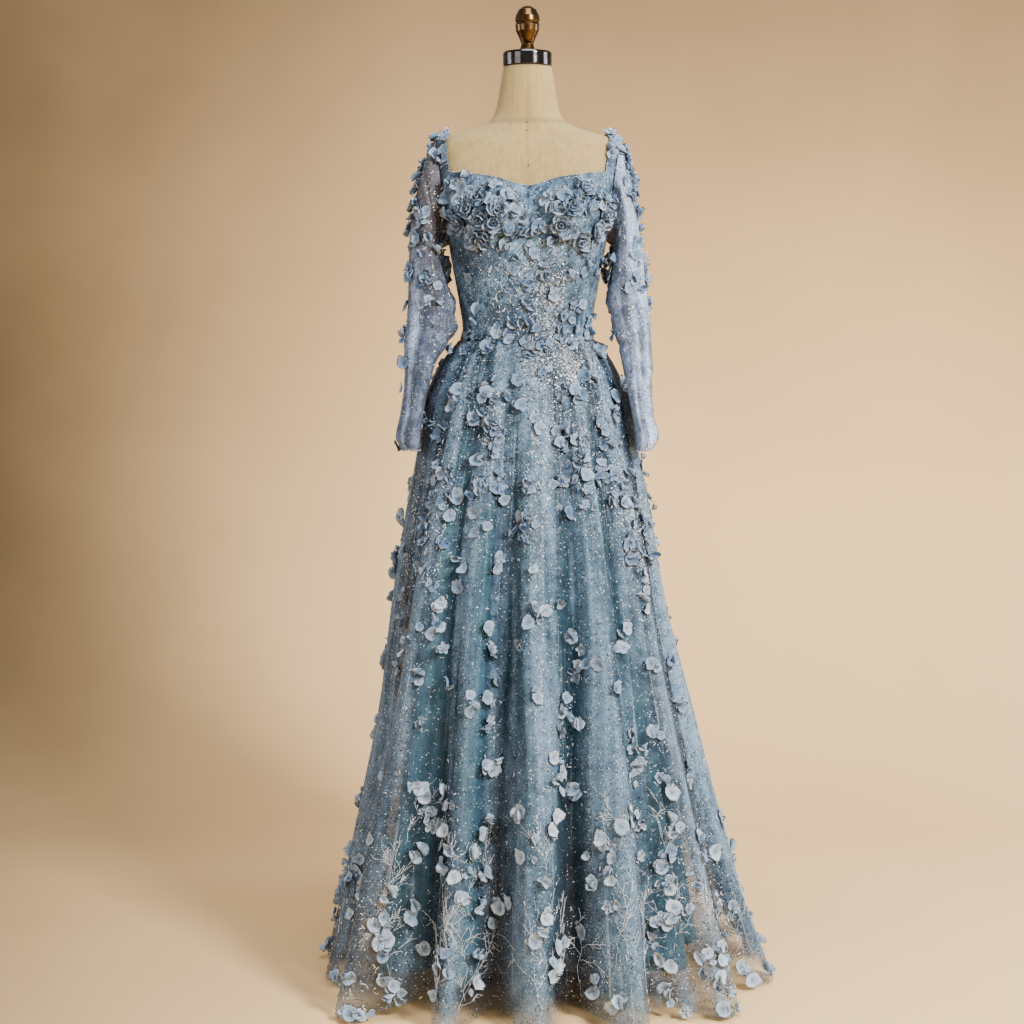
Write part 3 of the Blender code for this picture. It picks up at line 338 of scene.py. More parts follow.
HEM_GROUPS = (
    (-158, 334, 5, 18), (-134, 283, 3, 14), (-97, 279, 4, 15), (-76, 255, 3, 12),
    (-120, 232, 3, 11), (-83, 223, 3, 14), (7, 312, 3, 12), (35, 334, 3, 14), (26, 260, 2, 7),
    (34, 208, 3, 11), (20, 166, 4, 16), (56, 136, 2, 9), (41, 120, 5, 16), (132, 275, 5, 18),
    (117, 241, 3, 12), (151, 216, 2, 10), (124, 326, 2, 10), (171, 330, 3, 14), (198, 351, 4, 18),
    (248, 329, 4, 14), (254, 275, 4, 14), (246, 235, 5, 18), (266, 198, 3, 12), (249, 173, 4, 14),
    (324, 187, 5, 18), (320, 115, 4, 14), (336, 66, 3, 12), (393, 39, 4, 16), (238, 107, 3, 14),
    (350, 23, 4, 14), (257, 54, 5, 20), (154, 61, 4, 16), (-254, 177, 4, 15),
    (-248, 155, 3, 12), (-236, 148, 2, 9), (-288, 199, 3, 13), (-236, 215, 2, 9), (-238, 83, 2, 9),
    (-240, 48, 3, 13), (-176, 127, 3, 12), (-145, 130, 3, 12), (-90, 126, 2, 10), (-91, 78, 2, 10),
    (-273, 10, 4, 16), (-61, 198, 3, 16), (-74, 339, 3, 14), (-191, 406, 4, 18), (-60, 434, 5, 20),
    (53, 426, 6, 22), (185, 423, 4, 18), (225, 413, 3, 14), (117, 77, 3, 12), (-325, 79, 3, 20),
    (-333, 31, 3, 20), (-318, 168, 3, 18), (-301, 258, 2, 16), (-215, 39, 3, 14), (298, 388, 2, 12),
    (313, 280, 3, 16), (372, 125, 3, 16), (-137, 383, 3, 14), (85, 386, 3, 14), (-12, 384, 2, 12),
    (192, 292, 2, 10), (214, 153, 3, 14), (96, 155, 2, 10), (-31, 220, 2, 10), (-191, 275, 3, 12),
    (-201, 186, 2, 10),
)
MIDRIFF_GROUPS = (
    (4, 1239, 2, 9), (49, 1250, 2, 9), (-24, 1307, 3, 12), (7, 1327, 3, 10), (-39, 1333, 2, 9),
    (33, 1290, 3, 10), (-34, 1268, 2, 10), (20, 1197, 3, 10), (61, 1209, 3, 12), (-79, 1222, 2, 12),
    (94, 1237, 3, 12), (-52, 1182, 3, 10), (77, 1292, 2, 10), (-16, 1200, 2, 9), (114, 1204, 3, 12),
    (-102, 1183, 2, 10), (-95, 1274, 1, 8), (37, 1345, 2, 9), (61, 1167, 4, 12), (2, 1276, 2, 9),
    (102, 1293, 3, 12),
)
ROSETTES = (
    (-85, 1421), (-83, 1384), (-58, 1376), (-79, 1351), (-101, 1400), (-118, 1376),
    (62, 1374), (95, 1350), (104, 1433), (139, 1393), (79, 1402), (124, 1362), (-50, 1404),
)
BUST_GROUPS = (
    (-149, 1420, 2, 7), (-137, 1394, 3, 8), (-118, 1406, 4, 10), (-102, 1435, 4, 10),
    (-66, 1433, 4, 10), (-39, 1424, 3, 9), (-49, 1390, 4, 10), (-102, 1366, 4, 10),
    (-72, 1357, 4, 10), (-24, 1399, 3, 9), (-3, 1386, 3, 9), (31, 1407, 4, 10), (50, 1395, 4, 10),
    (72, 1422, 4, 10), (89, 1414, 4, 10), (110, 1404, 5, 10), (129, 1408, 4, 10),
    (144, 1378, 4, 10), (83, 1365, 4, 10), (111, 1336, 4, 10), (132, 1308, 4, 12),
    (134, 1285, 3, 10), (68, 1347, 3, 9), (-13, 1363, 3, 9), (7, 1353, 3, 9), (29, 1366, 3, 9),
    (-132, 1365, 3, 10), (-148, 1372, 2, 8), (-155, 1398, 2, 8), (149, 1418, 3, 9),
    (-35, 1367, 3, 9), (-93, 1339, 3, 9), (122, 1434, 3, 9), (94, 1442, 3, 9), (-113, 1451, 3, 8),
    (-130, 1448, 3, 8),
)

# Where the sequins lie thickest: x, height, weight and spread
SPARKLES = (
    (30, 1290, 1, 16), (52, 1262, 1, 16), (70, 1236, 1, 14), (40, 1232, 1, 14), (60, 1196, 1, 20),
    (66, 1166, 1, 22), (48, 1140, 1, 20), (58, 1108, 1, 18), (20, 1180, 1, 14), (92, 1120, 1, 16),
)


def smooth_curve(at, knots, values):
    """A smooth curve through the knots that doesn't swing past them."""
    knots = np.asarray(knots, float)
    values = np.asarray(values, float)
    step = np.diff(knots)
    slope = np.diff(values) / step
    before, after = slope[:-1], slope[1:]
    tangent = np.zeros_like(values)
    rising = before * after > 0
    tangent[1:-1][rising] = (2 * before * after)[rising] / (before + after)[rising]
    tangent[0], tangent[-1] = slope[0], slope[-1]
    at = np.clip(at, knots[0], knots[-1])
    i = np.clip(np.searchsorted(knots, at, side="right") - 1, 0, len(step) - 1)
    t = (at - knots[i]) / step[i]
    ends = values[i] * (1 + 2 * t) * (1 - t) ** 2 + values[i + 1] * t * t * (3 - 2 * t)
    bends = tangent[i] * t * (1 - t) ** 2 - tangent[i + 1] * t * t * (1 - t)
    return ends + bends * step[i]


def column(table, columns, name, at):
    """A table's column read at some place of its first column."""
    rows = np.array(table, float)
    return smooth_curve(at, rows[:, 0], rows[:, columns.index(name)])


def ring(angle, across, depth, squareness):
    """Distance from the axis to a rounded ring."""
    turn = np.radians(angle)
    sides = np.abs(np.sin(turn) / across) ** squareness
    faces = np.abs(np.cos(turn) / depth) ** squareness
    return (sides + faces) ** (-1 / squareness)


def to_xyz(angle, radius, height):
    turn = np.radians(angle)
    return np.stack([radius * np.sin(turn), -radius * np.cos(turn), height], axis=-1)


def body_sizes(height):
    """Half width, depth in front and behind, and squareness of the form's ring."""
    return [column(BODY_SECTIONS, BODY_COLUMNS, name, height) for name in BODY_COLUMNS[1:]]


def paired(angle, height):
    """Angles and heights spread to the same shape."""
    return np.broadcast_arrays(np.asarray(angle, float), np.asarray(height, float))


def body(angle, height, bust):
    """The form's surface, its bust standing out by the given height."""
    angle, height = paired(angle, height)
    half_width, front, back, squareness = body_sizes(height)
    ahead = np.cos(np.radians(angle))
    radius = ring(angle, half_width, np.where(ahead > 0, front, back), squareness)
    point = to_xyz(angle, radius, height)
    rise = height - BUST_HEIGHT
    spread = np.where(rise < 0, BUST_FALL_BELOW, BUST_SPREAD)
    aside = (np.abs(point[..., 0]) - BUST_OUT) / BUST_SPREAD
    swell = bust * np.exp(-(aside**2 + (rise / spread) ** 2) / 1.3)
    point[..., 1] -= swell * np.clip(ahead * 2.5, 0, 1)
    return point


def normals_of(surface, angle, height):
    """Outward directions of a surface that is a function of angle and height."""
    across = surface(angle + 0.4, height) - surface(angle - 0.4, height)
    up = surface(angle, height + 0.8) - surface(angle, height - 0.8)
    out = np.cross(across, up)
    return out / np.linalg.norm(out, axis=-1, keepdims=True)


def dress_body(angle, height):
    return body(angle, height, DRESS_BUST)


def form_room(height):
    return column(FORM_ROOM, ROOM_COLUMNS, "room", height)


def bodice(angle, height, out=0.0):
    """A surface that far out from the inside of the bodice."""
    angle, height = paired(angle, height)
    off = np.asarray(form_room(height) + out)[..., None]
    return dress_body(angle, height) + off * normals_of(dress_body, angle, height)


def side_values(table, columns, height, angle):
    """Half lengths of a ring at some heights, by the side that each angle lies on."""
    sizes = [column(table, columns, name, height) for name in columns[1:]]
    left, right, front, back = sizes
    turn = np.radians(angle)
    return np.where(np.sin(turn) < 0, left, right), np.where(np.cos(turn) > 0, front, back)


def armhole_on_form(turn):
    """A point of the armhole: 0 at the shoulder tip, 90 in front. +X side."""
    turn = np.radians(turn)
    y = ARMHOLE_BACK - ARMHOLE_HALF_DEPTH * np.sin(turn)
    height = ARMHOLE_HEIGHT + ARMHOLE_HALF_HEIGHT * np.cos(turn)
    half_width, front, back, squareness = body_sizes(height)
    depth = np.where(y < 0, front, back)
    x = half_width * (1 - np.abs(y / depth) ** squareness) ** (1 / squareness)
    return np.stack([x, y, height], axis=-1)


def coons(bottom, top, start, end):
    """Angle and height over a panel, from its four edges."""
    across = np.linspace(0, 1, len(bottom))[:, None, None]
    up = np.linspace(0, 1, len(start))[None, :, None]
    mixed = (1 - up) * bottom[:, None] + up * top[:, None]
    mixed = mixed + (1 - across) * start[None] + across * end[None]
    corners = (1 - across) * ((1 - up) * bottom[0] + up * top[0])
    corners = corners + across * ((1 - up) * bottom[-1] + up * top[-1])
    return mixed - corners


def edge(angles, heights):
    return np.stack(np.broadcast_arrays(angles, heights), axis=-1).astype(float)


def armhole_edge(turns):
    return edge(*angle_height(armhole_on_form(np.asarray(turns, float))))


def strap_grid():
    """Points of the form under the strap, from its outer edge inwards. +X side."""
    turns = np.linspace(STRAP_TURN, -STRAP_TURN, 17)
    outer = armhole_on_form(turns)
    inward = np.gradient(outer, axis=0)
    middle = np.array([0.0, ARMHOLE_BACK, ARMHOLE_HEIGHT])
    lines = [outer]
    point = outer
    steps = 12
    for _ in range(steps):
        normal = field_normal(point)
        way = np.cross(inward, normal)
        way /= np.linalg.norm(way, axis=-1, keepdims=True)
        way *= np.sign(np.sum(way * (point - middle) * (0, 1, 1), axis=-1, keepdims=True))
        point = on_body(point + way * STRAP_WIDTH / steps)
        lines.append(point)
    return np.stack([lines[0], lines[steps // 2], lines[steps]])


def field(point):
    """Below 1 inside the form's rings, above 1 outside them."""
    x, y, height = np.moveaxis(point, -1, 0)
    half_width, front, back, squareness = body_sizes(height)
    depth = np.where(y < 0, front, back)
    return (np.abs(x) / half_width) ** squareness + (np.abs(y) / depth) ** squareness


def field_slope(point):
    steps = np.eye(3) * 0.5
    return np.stack([field(point + s) - field(point - s) for s in steps], axis=-1)


def field_normal(point):
    slope = field_slope(point)
    return slope / np.linalg.norm(slope, axis=-1, keepdims=True)


def on_body(point):
    """The point moved onto the form's surface."""
    for _ in range(12):
        slope = field_slope(point)
        short = (1 - field(point))[..., None]
        point = point + slope * short / np.sum(slope * slope, axis=-1, keepdims=True)
    return point


def angle_height(point):
    """Angle and height of a point."""
    return np.degrees(np.arctan2(point[..., 0], -point[..., 1])), point[..., 2]


def mirrored(grid):
    """The same grid on the other side, still running the same way round."""
    return grid[::-1] * (-1, 1, 1)


def neck_edge(table, angles):
    return edge(angles, column(table, NECKLINE_COLUMNS, "height", angles))


def cup_grid(strap):
    """Angles and heights of a cup, from centre front to the armhole. +X side."""
    columns, rows = 10, 11
    outer_angle, _ = angle_height(strap[0, 0])
    inner_angle, inner_height = angle_height(strap[-1, 0])
    middle_angle, middle_height = angle_height(strap[1, 0])
    end = armhole_edge(np.linspace(CUP_TURN, STRAP_TURN, rows))
    lower_angles = np.linspace(0, end[0, 0], columns + 1)
    bottom = neck_edge(UNDERBUST, lower_angles)
    bottom[-1] = end[0]
    top = neck_edge(FRONT_NECKLINE, np.linspace(0, inner_angle - 2.2, columns - 1))
    strap_base = edge([middle_angle, outer_angle], [middle_height, 0])
    strap_base[-1] = end[-1]
    top = np.concatenate([top, edge([inner_angle], [inner_height]), strap_base[-1:]])
    start = edge(0, np.linspace(bottom[0, 1], top[0, 1], rows))
    return coons(bottom, top, start, end)


def waist_edge(angles):
    return edge(angles, WAIST)


# --------------------------------------------------------------------- shader helpers


def new_material(name, **sockets):
    """A material with its Principled shader's sockets set, and its node tree."""
    made = bpy.data.materials.new(name)
    made.use_nodes = True
    tree = made.node_tree
    shader = tree.nodes["Principled BSDF"]
    for socket, value in sockets.items():
        shader.inputs[socket.replace("_", " ")].default_value = value
    return made, tree, shader


def add(tree, kind, *links, **values):
    """A node, with (socket name or number, source socket) links and values by name."""
    node = tree.nodes.new("ShaderNode" + kind)
    for name, value in values.items():
        if hasattr(node, name):
            setattr(node, name, value)
        else:
            node.inputs[name.replace("_", " ")].default_value = value
    for socket, source in links:
        tree.links.new(source, node.inputs[socket])
    return node


def place(tree, scale=(1, 1, 1), turn=(0, 0, 0)):
    """The piece's own coordinates in metres, stretched and turned."""
    where = add(tree, "TexCoord").outputs["Object"]
    mapping = add(tree, "Mapping", ("Vector", where))
    mapping.inputs["Scale"].default_value = scale
    mapping.inputs["Rotation"].default_value = turn
    return mapping.outputs["Vector"]


def noise(tree, vector, scale, detail=3.0, roughness=0.55):
    made = add(tree, "TexNoise", ("Vector", vector), Scale=scale, Detail=detail)
    made.inputs["Roughness"].default_value = roughness
    return made.outputs["Fac"]


def remap(tree, value, low, high, start=0.0, end=1.0):
    """A value stretched from one range to another, and held within it."""
    made = add(tree, "MapRange", ("Value", value))
    for socket, number in zip(("From Min", "From Max", "To Min", "To Max"), (low, high, start, end)):
        made.inputs[socket].default_value = number
    return made.outputs["Result"]


def blended(tree, share, first, second, mode="MIX"):
    """Two colours mixed; each is a colour or a socket, and so is the share."""
    made = add(tree, "MixRGB", blend_type=mode)
    for socket, value in zip(("Fac", "Color1", "Color2"), (share, first, second)):
        if isinstance(value, bpy.types.NodeSocket):
            tree.links.new(value, made.inputs[socket])
        elif socket == "Fac":
            made.inputs[socket].default_value = value
        else:
            made.inputs[socket].default_value = (*value, 1)
    return made.outputs["Color"]


def maths(tree, operation, first, second):
    made = add(tree, "Math", operation=operation)
    for number, value in enumerate((first, second)):
        if isinstance(value, bpy.types.NodeSocket):
            tree.links.new(value, made.inputs[number])
        else:
            made.inputs[number].default_value = value
    return made.outputs[0]


def times(tree, *values):
    return maths(tree, "MULTIPLY", *values)


def plus(tree, *values):
    return maths(tree, "ADD", *values)


def attribute(tree, name):
    return add(tree, "Attribute", attribute_name=name).outputs["Fac"]


def down_the_folds(tree, scale):
    """Coordinates in metres that run with the folds, stretched."""
    where = add(tree, "Attribute", attribute_name="run").outputs["Vector"]
    mapping = add(tree, "Mapping", ("Vector", where))
    mapping.inputs["Scale"].default_value = scale
    return mapping.outputs["Vector"]


def bump(tree, shader, height, distance, strength=1.0):
    """Relief of a real depth in metres."""
    made = add(tree, "Bump", ("Height", height), Strength=strength, Distance=distance)
    tree.links.new(made.outputs["Normal"], shader.inputs["Normal"])


def link(tree, source, shader, socket):
    tree.links.new(source, shader.inputs[socket])


# -------------------------------------------------------------------------- materials


def speckles(tree, scale, size, share):
    """Sequins printed small: where they lie, their brightness and their tilt."""
    cells = add(tree, "TexVoronoi", ("Vector", place(tree)), Scale=scale)
    near = remap(tree, cells.outputs["Distance"], size + 0.05, size - 0.02)
    chance = add(tree, "SeparateColor", ("Color", cells.outputs["Color"]))
    above = maths(tree, "SUBTRACT", share, chance.outputs["Red"])
    spot = times(tree, near, remap(tree, above, 0, 0.02))
    bright = remap(tree, chance.outputs["Green"], 0.4, 1.0, 0, 0.85)
    return spot, bright, chance.outputs["Blue"]


def net_material(name, pale, deep, cover, glitter):
    """Net in strips of glitter, which hides more where it is gathered or its folds lie double."""
    made, tree, shader = new_material(name, Sheen_Weight=0.1, Sheen_Roughness=0.4)
    fold, dense = attribute(tree, "fold"), attribute(tree, "dense")
    strips = noise(tree, down_the_folds(tree, (1, 1, 0.07)), 22, 2)
    strips = remap(tree, strips, 0.42, 0.58)
    lines = noise(tree, down_the_folds(tree, (1, 1, 0.015)), 190, 2)
    cloud = noise(tree, place(tree), 34, 4, 0.75)
    veil = plus(tree, times(tree, fold, 0.5), times(tree, strips, 0.5))
    veil = remap(tree, veil, 0.28, 0.74)
    tone = plus(tree, times(tree, cloud, 0.9), times(tree, veil, 0.3))
    colour = blended(tree, remap(tree, tone, 0.40, 0.84), deep, pale)
    veil = plus(tree, veil, dense)
    # Painted highlight: thin pale lines down the folds, where the net is also a little denser
    edges_and_highlights = remap(tree, lines, 0.62, 0.72)
    colour = blended(tree, times(tree, edges_and_highlights, 0.5), colour, NET_PAINTED_HIGHLIGHT)
    # Painted shade: where the shade number is high, the net turns to its shade colour
    colour = blended(tree, attribute(tree, "shade"), colour, NET_SHADE)
    share = remap(tree, times(tree, veil, cloud), 0.05, 0.55, glitter * 0.3, glitter)
    spot, bright, _ = speckles(tree, 280, 0.31, share)
    sequin = blended(tree, bright, SEQUIN_DARK, SEQUIN_PALE)
    link(tree, blended(tree, spot, colour, sequin), shader, "Base Color")
    link(tree, remap(tree, spot, 0, 1, 0.7, 0.3), shader, "Roughness")
    sheer = remap(tree, veil, -0.3, 1.6, cover * 0.15, cover * 2.3)
    sheer = plus(tree, sheer, times(tree, edges_and_highlights, 0.15))
    link(tree, maths(tree, "MAXIMUM", sheer, times(tree, spot, 0.9)), shader, "Alpha")
    bump(tree, shader, lines, 0.0012, 0.8)
    return made


def satin_material():
    """Crushed satin, with painted sheen and shade in streaks down its folds, painted paler crests and
    painted shade in its recesses.
    """
    made, tree, shader = new_material(
        "satin_lining", Roughness=0.3, Sheen_Weight=0.15, Sheen_Roughness=0.3, Anisotropic=0.4
    )
    fold = attribute(tree, "fold")
    # Streaks down the folds: they shade the colour as painted sheen and shade, and they also raise the
    # relief
    wide = noise(tree, down_the_folds(tree, (1, 1, 0.05)), 26, 2)
    fine = noise(tree, down_the_folds(tree, (1, 1, 0.02)), 90, 3)
    tone = plus(tree, times(tree, wide, 0.7), times(tree, fine, 0.3))
    # Painted light: the crests are painted paler and the recesses darker
    tone = plus(tree, tone, times(tree, fold, 0.34))
    colour = blended(tree, remap(tree, tone, 0.40, 0.80), SATIN_DEEP, SATIN_PALE)
    # Painted highlight: the brightest streaks turn to a pale shine
    colour = blended(tree, remap(tree, tone, 0.76, 0.98, 0, 0.8), colour, SATIN_PAINTED_SHINE)
    patches = noise(tree, place(tree), 5, 3)
    colour = blended(tree, remap(tree, patches, 0.42, 0.7, 0, 0.45), colour, SATIN_GREEN)
    # Painted shade: the deepest recesses are painted the deep satin colour
    colour = blended(tree, attribute(tree, "shade"), colour, SATIN_DEEP)
    link(tree, colour, shader, "Base Color")
    weave = noise(tree, place(tree, (1, 1, 0.3)), 900, 2)
    relief = plus(tree, times(tree, weave, 0.04), plus(tree, wide, fine))
    bump(tree, shader, relief, 0.006, 0.6)
    return made


def bodice_material():
    """Satin under embroidered net, darker in patches, its threads drawn up to the right."""
    made, tree, shader = new_material("bodice_net", Sheen_Weight=0.2, Sheen_Roughness=0.35)
    where = place(tree)
    cloud = noise(tree, where, 34, 6, 0.7)
    patches = noise(tree, where, 14, 3)
    slanted = add(tree, "Mapping", ("Vector", place(tree, turn=(0, -0.8, 0))))
    slanted.inputs["Scale"].default_value = (1, 1, 0.25)
    threads = noise(tree, slanted.outputs["Vector"], 170, 3)
    tone = plus(tree, times(tree, cloud, 0.9), times(tree, threads, 0.5))
    colour = blended(tree, remap(tree, tone, 0.54, 0.84), BODICE_DEEP, BODICE_PALE)
    colour = blended(tree, remap(tree, patches, 0.57, 0.40, 0, 0.75), colour, BODICE_DEEP)
    spot, bright, tilt = speckles(tree, 280, 0.31, remap(tree, cloud, 0.4, 0.65, 0.15, 0.8))
    sequin = blended(tree, bright, SEQUIN_DARK, SEQUIN_PALE)
    link(tree, blended(tree, spot, colour, sequin), shader, "Base Color")
    link(tree, remap(tree, spot, 0, 1, 0.5, 0.3), shader, "Roughness")
    relief = plus(tree, times(tree, tilt, spot), times(tree, threads, 1.5))
    bump(tree, shader, relief, 0.0028)
    return made


def petal_material():
    """Organza, crinkled, with darker veins, painted shade at a petal's root and a painted highlight
    along its cut edge.
    """
    made, tree, shader = new_material(
        "organza_petals", Roughness=0.6, Sheen_Weight=0.3, Sheen_Roughness=0.45
    )
    tone = attribute(tree, "tone")
    rim = attribute(tree, "rim")
    veins = noise(tree, place(tree), 300, 3, 0.75)
    colour = blended(tree, tone, PETAL_DEEP, PETAL_PALE)
    # Painted shade: darker towards the petal's root
    root = remap(tree, rim, 0.6, 0.0, 0, 0.65)
    colour = blended(tree, root, colour, PETAL_SHADE_AND_VEINS)
    # Darker veins of the organza
    colour = blended(tree, remap(tree, veins, 0.46, 0.66, 0, 0.55), colour, PETAL_SHADE_AND_VEINS)
    # Painted highlight: a pale edge along the petal's rim
    colour = blended(tree, remap(tree, rim, 0.8, 1.0, 0, 0.6), colour, PETAL_RIM_HIGHLIGHT)
    link(tree, colour, shader, "Base Color")
    bump(tree, shader, veins, 0.003)
    return made


def trim_material(name, dark, pale, roughness, metallic):
    """Sequins and beads: each has its own tone."""
    made, tree, shader = new_material(name, Metallic=metallic)
    tone = attribute(tree, "tone")
    link(tree, blended(tree, tone, dark, pale), shader, "Base Color")
    wear = noise(tree, place(tree), 700, 2)
    link(tree, remap(tree, wear, 0.3, 0.7, roughness * 0.7, roughness * 1.4), shader, "Roughness")
    return made


def linen_material():
    made, tree, shader = new_material("linen_canvas", Roughness=0.88, Sheen_Weight=0.2)
    warp = add(tree, "TexWave", ("Vector", place(tree, (1, 0.4, 0.02))), Scale=420, bands_direction="X")
    weft = add(tree, "TexWave", ("Vector", place(tree, (0.02, 0.02, 1))), Scale=420, bands_direction="Z")
    slubs = noise(tree, place(tree, (1, 1, 0.05)), 160, 4)
    cloud = noise(tree, place(tree), 9, 3)
    weave = times(tree, warp.outputs["Fac"], weft.outputs["Fac"])
    mark = attribute(tree, "tone")
    tone = plus(tree, times(tree, slubs, 0.6), times(tree, cloud, 0.5))
    colour = blended(tree, remap(tree, tone, 0.35, 0.75), LINEN_DEEP, LINEN_PALE)
    colour = blended(tree, times(tree, mark, 0.7), colour, LINEN_SEAM)
    link(tree, colour, shader, "Base Color")
    bump(tree, shader, plus(tree, weave, slubs), 0.0005, 0.7)
    return made


def metal_material(name, colour, worn, roughness, coat=0.0):
    made, tree, shader = new_material(name, Metallic=1.0, Coat_Weight=coat)
    patches = noise(tree, place(tree), 60, 5)
    scratches = noise(tree, place(tree, (1, 1, 0.15)), 500, 2)
    link(tree, blended(tree, remap(tree, patches, 0.4, 0.75), colour, worn), shader, "Base Color")
    link(tree, remap(tree, patches, 0.3, 0.7, roughness * 0.7, roughness * 1.6), shader, "Roughness")
    bump(tree, shader, scratches, 0.00005)
    return made


# ----------------------------------------------------------------------------- meshes


def set_numbers(mesh, name, values):
    """A number or a vector for each point, for the shader."""
    values = np.ascontiguousarray(values, np.float32)
    if values.ndim == 2 and values.shape[1] == 3:
        made = mesh.attributes.new(name, "FLOAT_VECTOR", "POINT")
        made.data.foreach_set("vector", values.ravel())
    else:
        made = mesh.attributes.new(name, "FLOAT", "POINT")
        made.data.foreach_set("value", values.ravel())


def new_piece(name, points, faces, finish, slot, replaces=(), smooth=True, **numbers):
    """A piece of the part from points in mm and faces of one size; numbers go to its shader."""
    mesh = bpy.data.meshes.new(name)
    points = np.ascontiguousarray(np.reshape(points, (-1, 3)) * MM, np.float32)
    faces = np.asarray(faces, np.int32)
    mesh.vertices.add(len(points))
    mesh.vertices.foreach_set("co", points.ravel())
    mesh.loops.add(faces.size)
    mesh.loops.foreach_set("vertex_index", faces.ravel())
    mesh.polygons.add(len(faces))
    starts = np.arange(len(faces), dtype=np.int32) * faces.shape[1]
    mesh.polygons.foreach_set("loop_start", starts)
    mesh.update(calc_edges=True)
    for number, values in numbers.items():
        set_numbers(mesh, number, values)
    mesh.materials.append(finish)
    if smooth:
        mesh.shade_smooth()
    else:
        mesh.shade_flat()
    made = bpy.data.objects.new(name, mesh)
    bpy.context.scene.collection.objects.link(made)
    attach(made, BODY)
    if replaces:
        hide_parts(*replaces)
    return made


def grid_faces(columns, rows, around=False):
    across = np.arange(columns if around else columns - 1)
    i, j = np.meshgrid(across, np.arange(rows - 1), indexing="ij")
    i, j = i.ravel(), j.ravel()
    k = (i + 1) % columns
    return np.stack([i * rows + j, k * rows + j, k * rows + j + 1, i * rows + j + 1], axis=1)


def two_skins(outside, inside, around=False):
    """Points and faces of a closed wall between two grids."""
    columns, rows = outside.shape[:2]
    count = columns * rows
    faces = grid_faces(columns, rows, around)
    index = np.arange(count).reshape(columns, rows)
    rims = [(index[:, 0], False), (index[:, -1], True)]
    if not around:
        rims += [(index[-1], False), (index[0], True)]
    made = [faces, faces[:, ::-1] + count]
    for rim, flip in rims:
        here, there = rim, np.roll(rim, -1)
        if not (around and len(rim) == columns):
            here, there = rim[:-1], rim[1:]
        strip = np.stack([here, here + count, there + count, there], axis=1)
        made.append(strip[:, ::-1] if flip else strip)
    points = np.concatenate([outside.reshape(-1, 3), inside.reshape(-1, 3)])
    return points, np.concatenate(made)


def grid_normals(points, around=False):
    """Outward directions over a grid that runs round to the right and up."""
    if around:
        across = np.roll(points, -1, axis=0) - np.roll(points, 1, axis=0)
    else:
        across = np.gradient(points, axis=0)
    up = np.gradient(points, axis=1)
    out = np.cross(across, up)
    return out / np.maximum(np.linalg.norm(out, axis=-1, keepdims=True), 1e-9)


def unit(vectors):
    return vectors / np.maximum(np.linalg.norm(vectors, axis=-1, keepdims=True), 1e-9)


class Cloth:
    """A grid of points on cloth, to lay petals and beads on."""

    def __init__(self, points, around=False, weight=1.0):
        self.weight = weight
        if around:
            points = np.concatenate([points, points[:1]])
        self.points = points
        self.normals = grid_normals(points)
        low, far = points[:-1, :-1], points[1:, 1:]
        side, high = points[1:, :-1], points[:-1, 1:]
        self.middle = (low + far + side + high) / 4
        self.area = np.linalg.norm(np.cross(far - low, high - side), axis=-1) / 2

    def at(self, i, j):
        """Points, outward directions and upward directions at fractional places."""
        columns, rows = self.points.shape[:2]
        i = np.clip(i, 0, columns - 1.001)
        j = np.clip(j, 0, rows - 1.001)
        a, b = i.astype(int), j.astype(int)
        u, v = (i - a)[:, None], (j - b)[:, None]

        def mixed(grid):
            low = grid[a, b] * (1 - u) + grid[a + 1, b] * u
            high = grid[a, b + 1] * (1 - u) + grid[a + 1, b + 1] * u
            return low * (1 - v) + high * v

        up = unit(self.points[a, b + 1] - self.points[a, b])
        return mixed(self.points), unit(mixed(self.normals)), up

    def scatter(self, count, density, dice):
        """Fractional places spread by area and density."""
        weight = (self.area * self.weight * density(self.middle)).ravel()
        cells = dice.choice(weight.size, count, p=weight / weight.sum())
        i, j = np.divmod(cells, self.area.shape[1])
        return i + dice.random(count), j + dice.random(count)

    def nearest(self, x, height):
        """The cell in front that is nearest to a place, and how far off it is."""
        away = (self.middle[..., 0] - x) ** 2 + (self.middle[..., 2] - height) ** 2
        away = np.where(self.middle[..., 1] < 0, away, np.inf)
        i, j = np.unravel_index(np.argmin(away), away.shape)
        return float(i), float(j), away[i, j]

    def walk(self, i, j, across, up):
        """Places some mm across and up from a cell."""
        a, b = int(i), int(j)
        wide = np.linalg.norm(self.points[a + 1, b] - self.points[a, b])
        tall = np.linalg.norm(self.points[a, b + 1] - self.points[a, b])
        return i + np.asarray(across) / max(wide, 0.5), j + np.asarray(up) / max(tall, 0.5)


def axes_on(normals, ups, spin, lean):
    """Axes of things lying on cloth, spun round its normal and leaning from it."""
    side = np.cross(ups, normals)
    spin, lean = spin[:, None], lean[:, None]
    across = side * np.cos(spin) + ups * np.sin(spin)
    along = np.cross(normals, across)
    out = normals * np.cos(lean) + along * np.sin(lean)
    return np.stack([across, np.cross(out, across), out], axis=-1)


def stamped(shape, centres, axes, sizes):
    """Copies of a small shape, as points and faces."""
    points, faces = shape
    sized = points[None] * np.reshape(sizes, (len(centres), 1, -1))
    placed = centres[:, None] + np.einsum("nij,nkj->nki", axes, sized)
    shift = np.arange(len(centres))[:, None, None] * len(points)
    return placed.reshape(-1, 3), (faces[None] + shift).reshape(-1, faces.shape[1])


def gathered(stamps):
    """Several stamped groups as one."""
    points, faces, shift = [], [], 0
    for group_points, group_faces in stamps:
        points.append(group_points)
        faces.append(group_faces + shift)
        shift += len(group_points)
    return np.concatenate(points), np.concatenate(faces)


# ------------------------------------------------------------------- cloth surfaces


def creased(number, height, table):
    """How far the listed creases move cloth out."""
    moved = np.zeros(np.broadcast(number, height).shape)
    for place_at, width, out, low, high in table:
        middle, half = (low + high) / 2, (high - low) / 2
        run = np.clip(1 - ((height - middle) / half) ** 2, 0, 1)
        wander = place_at + 0.1 * np.sin(height / 150 + place_at * 2.3)
        moved += out * run * np.exp(-(((number - wander) / width) ** 2))
    return moved


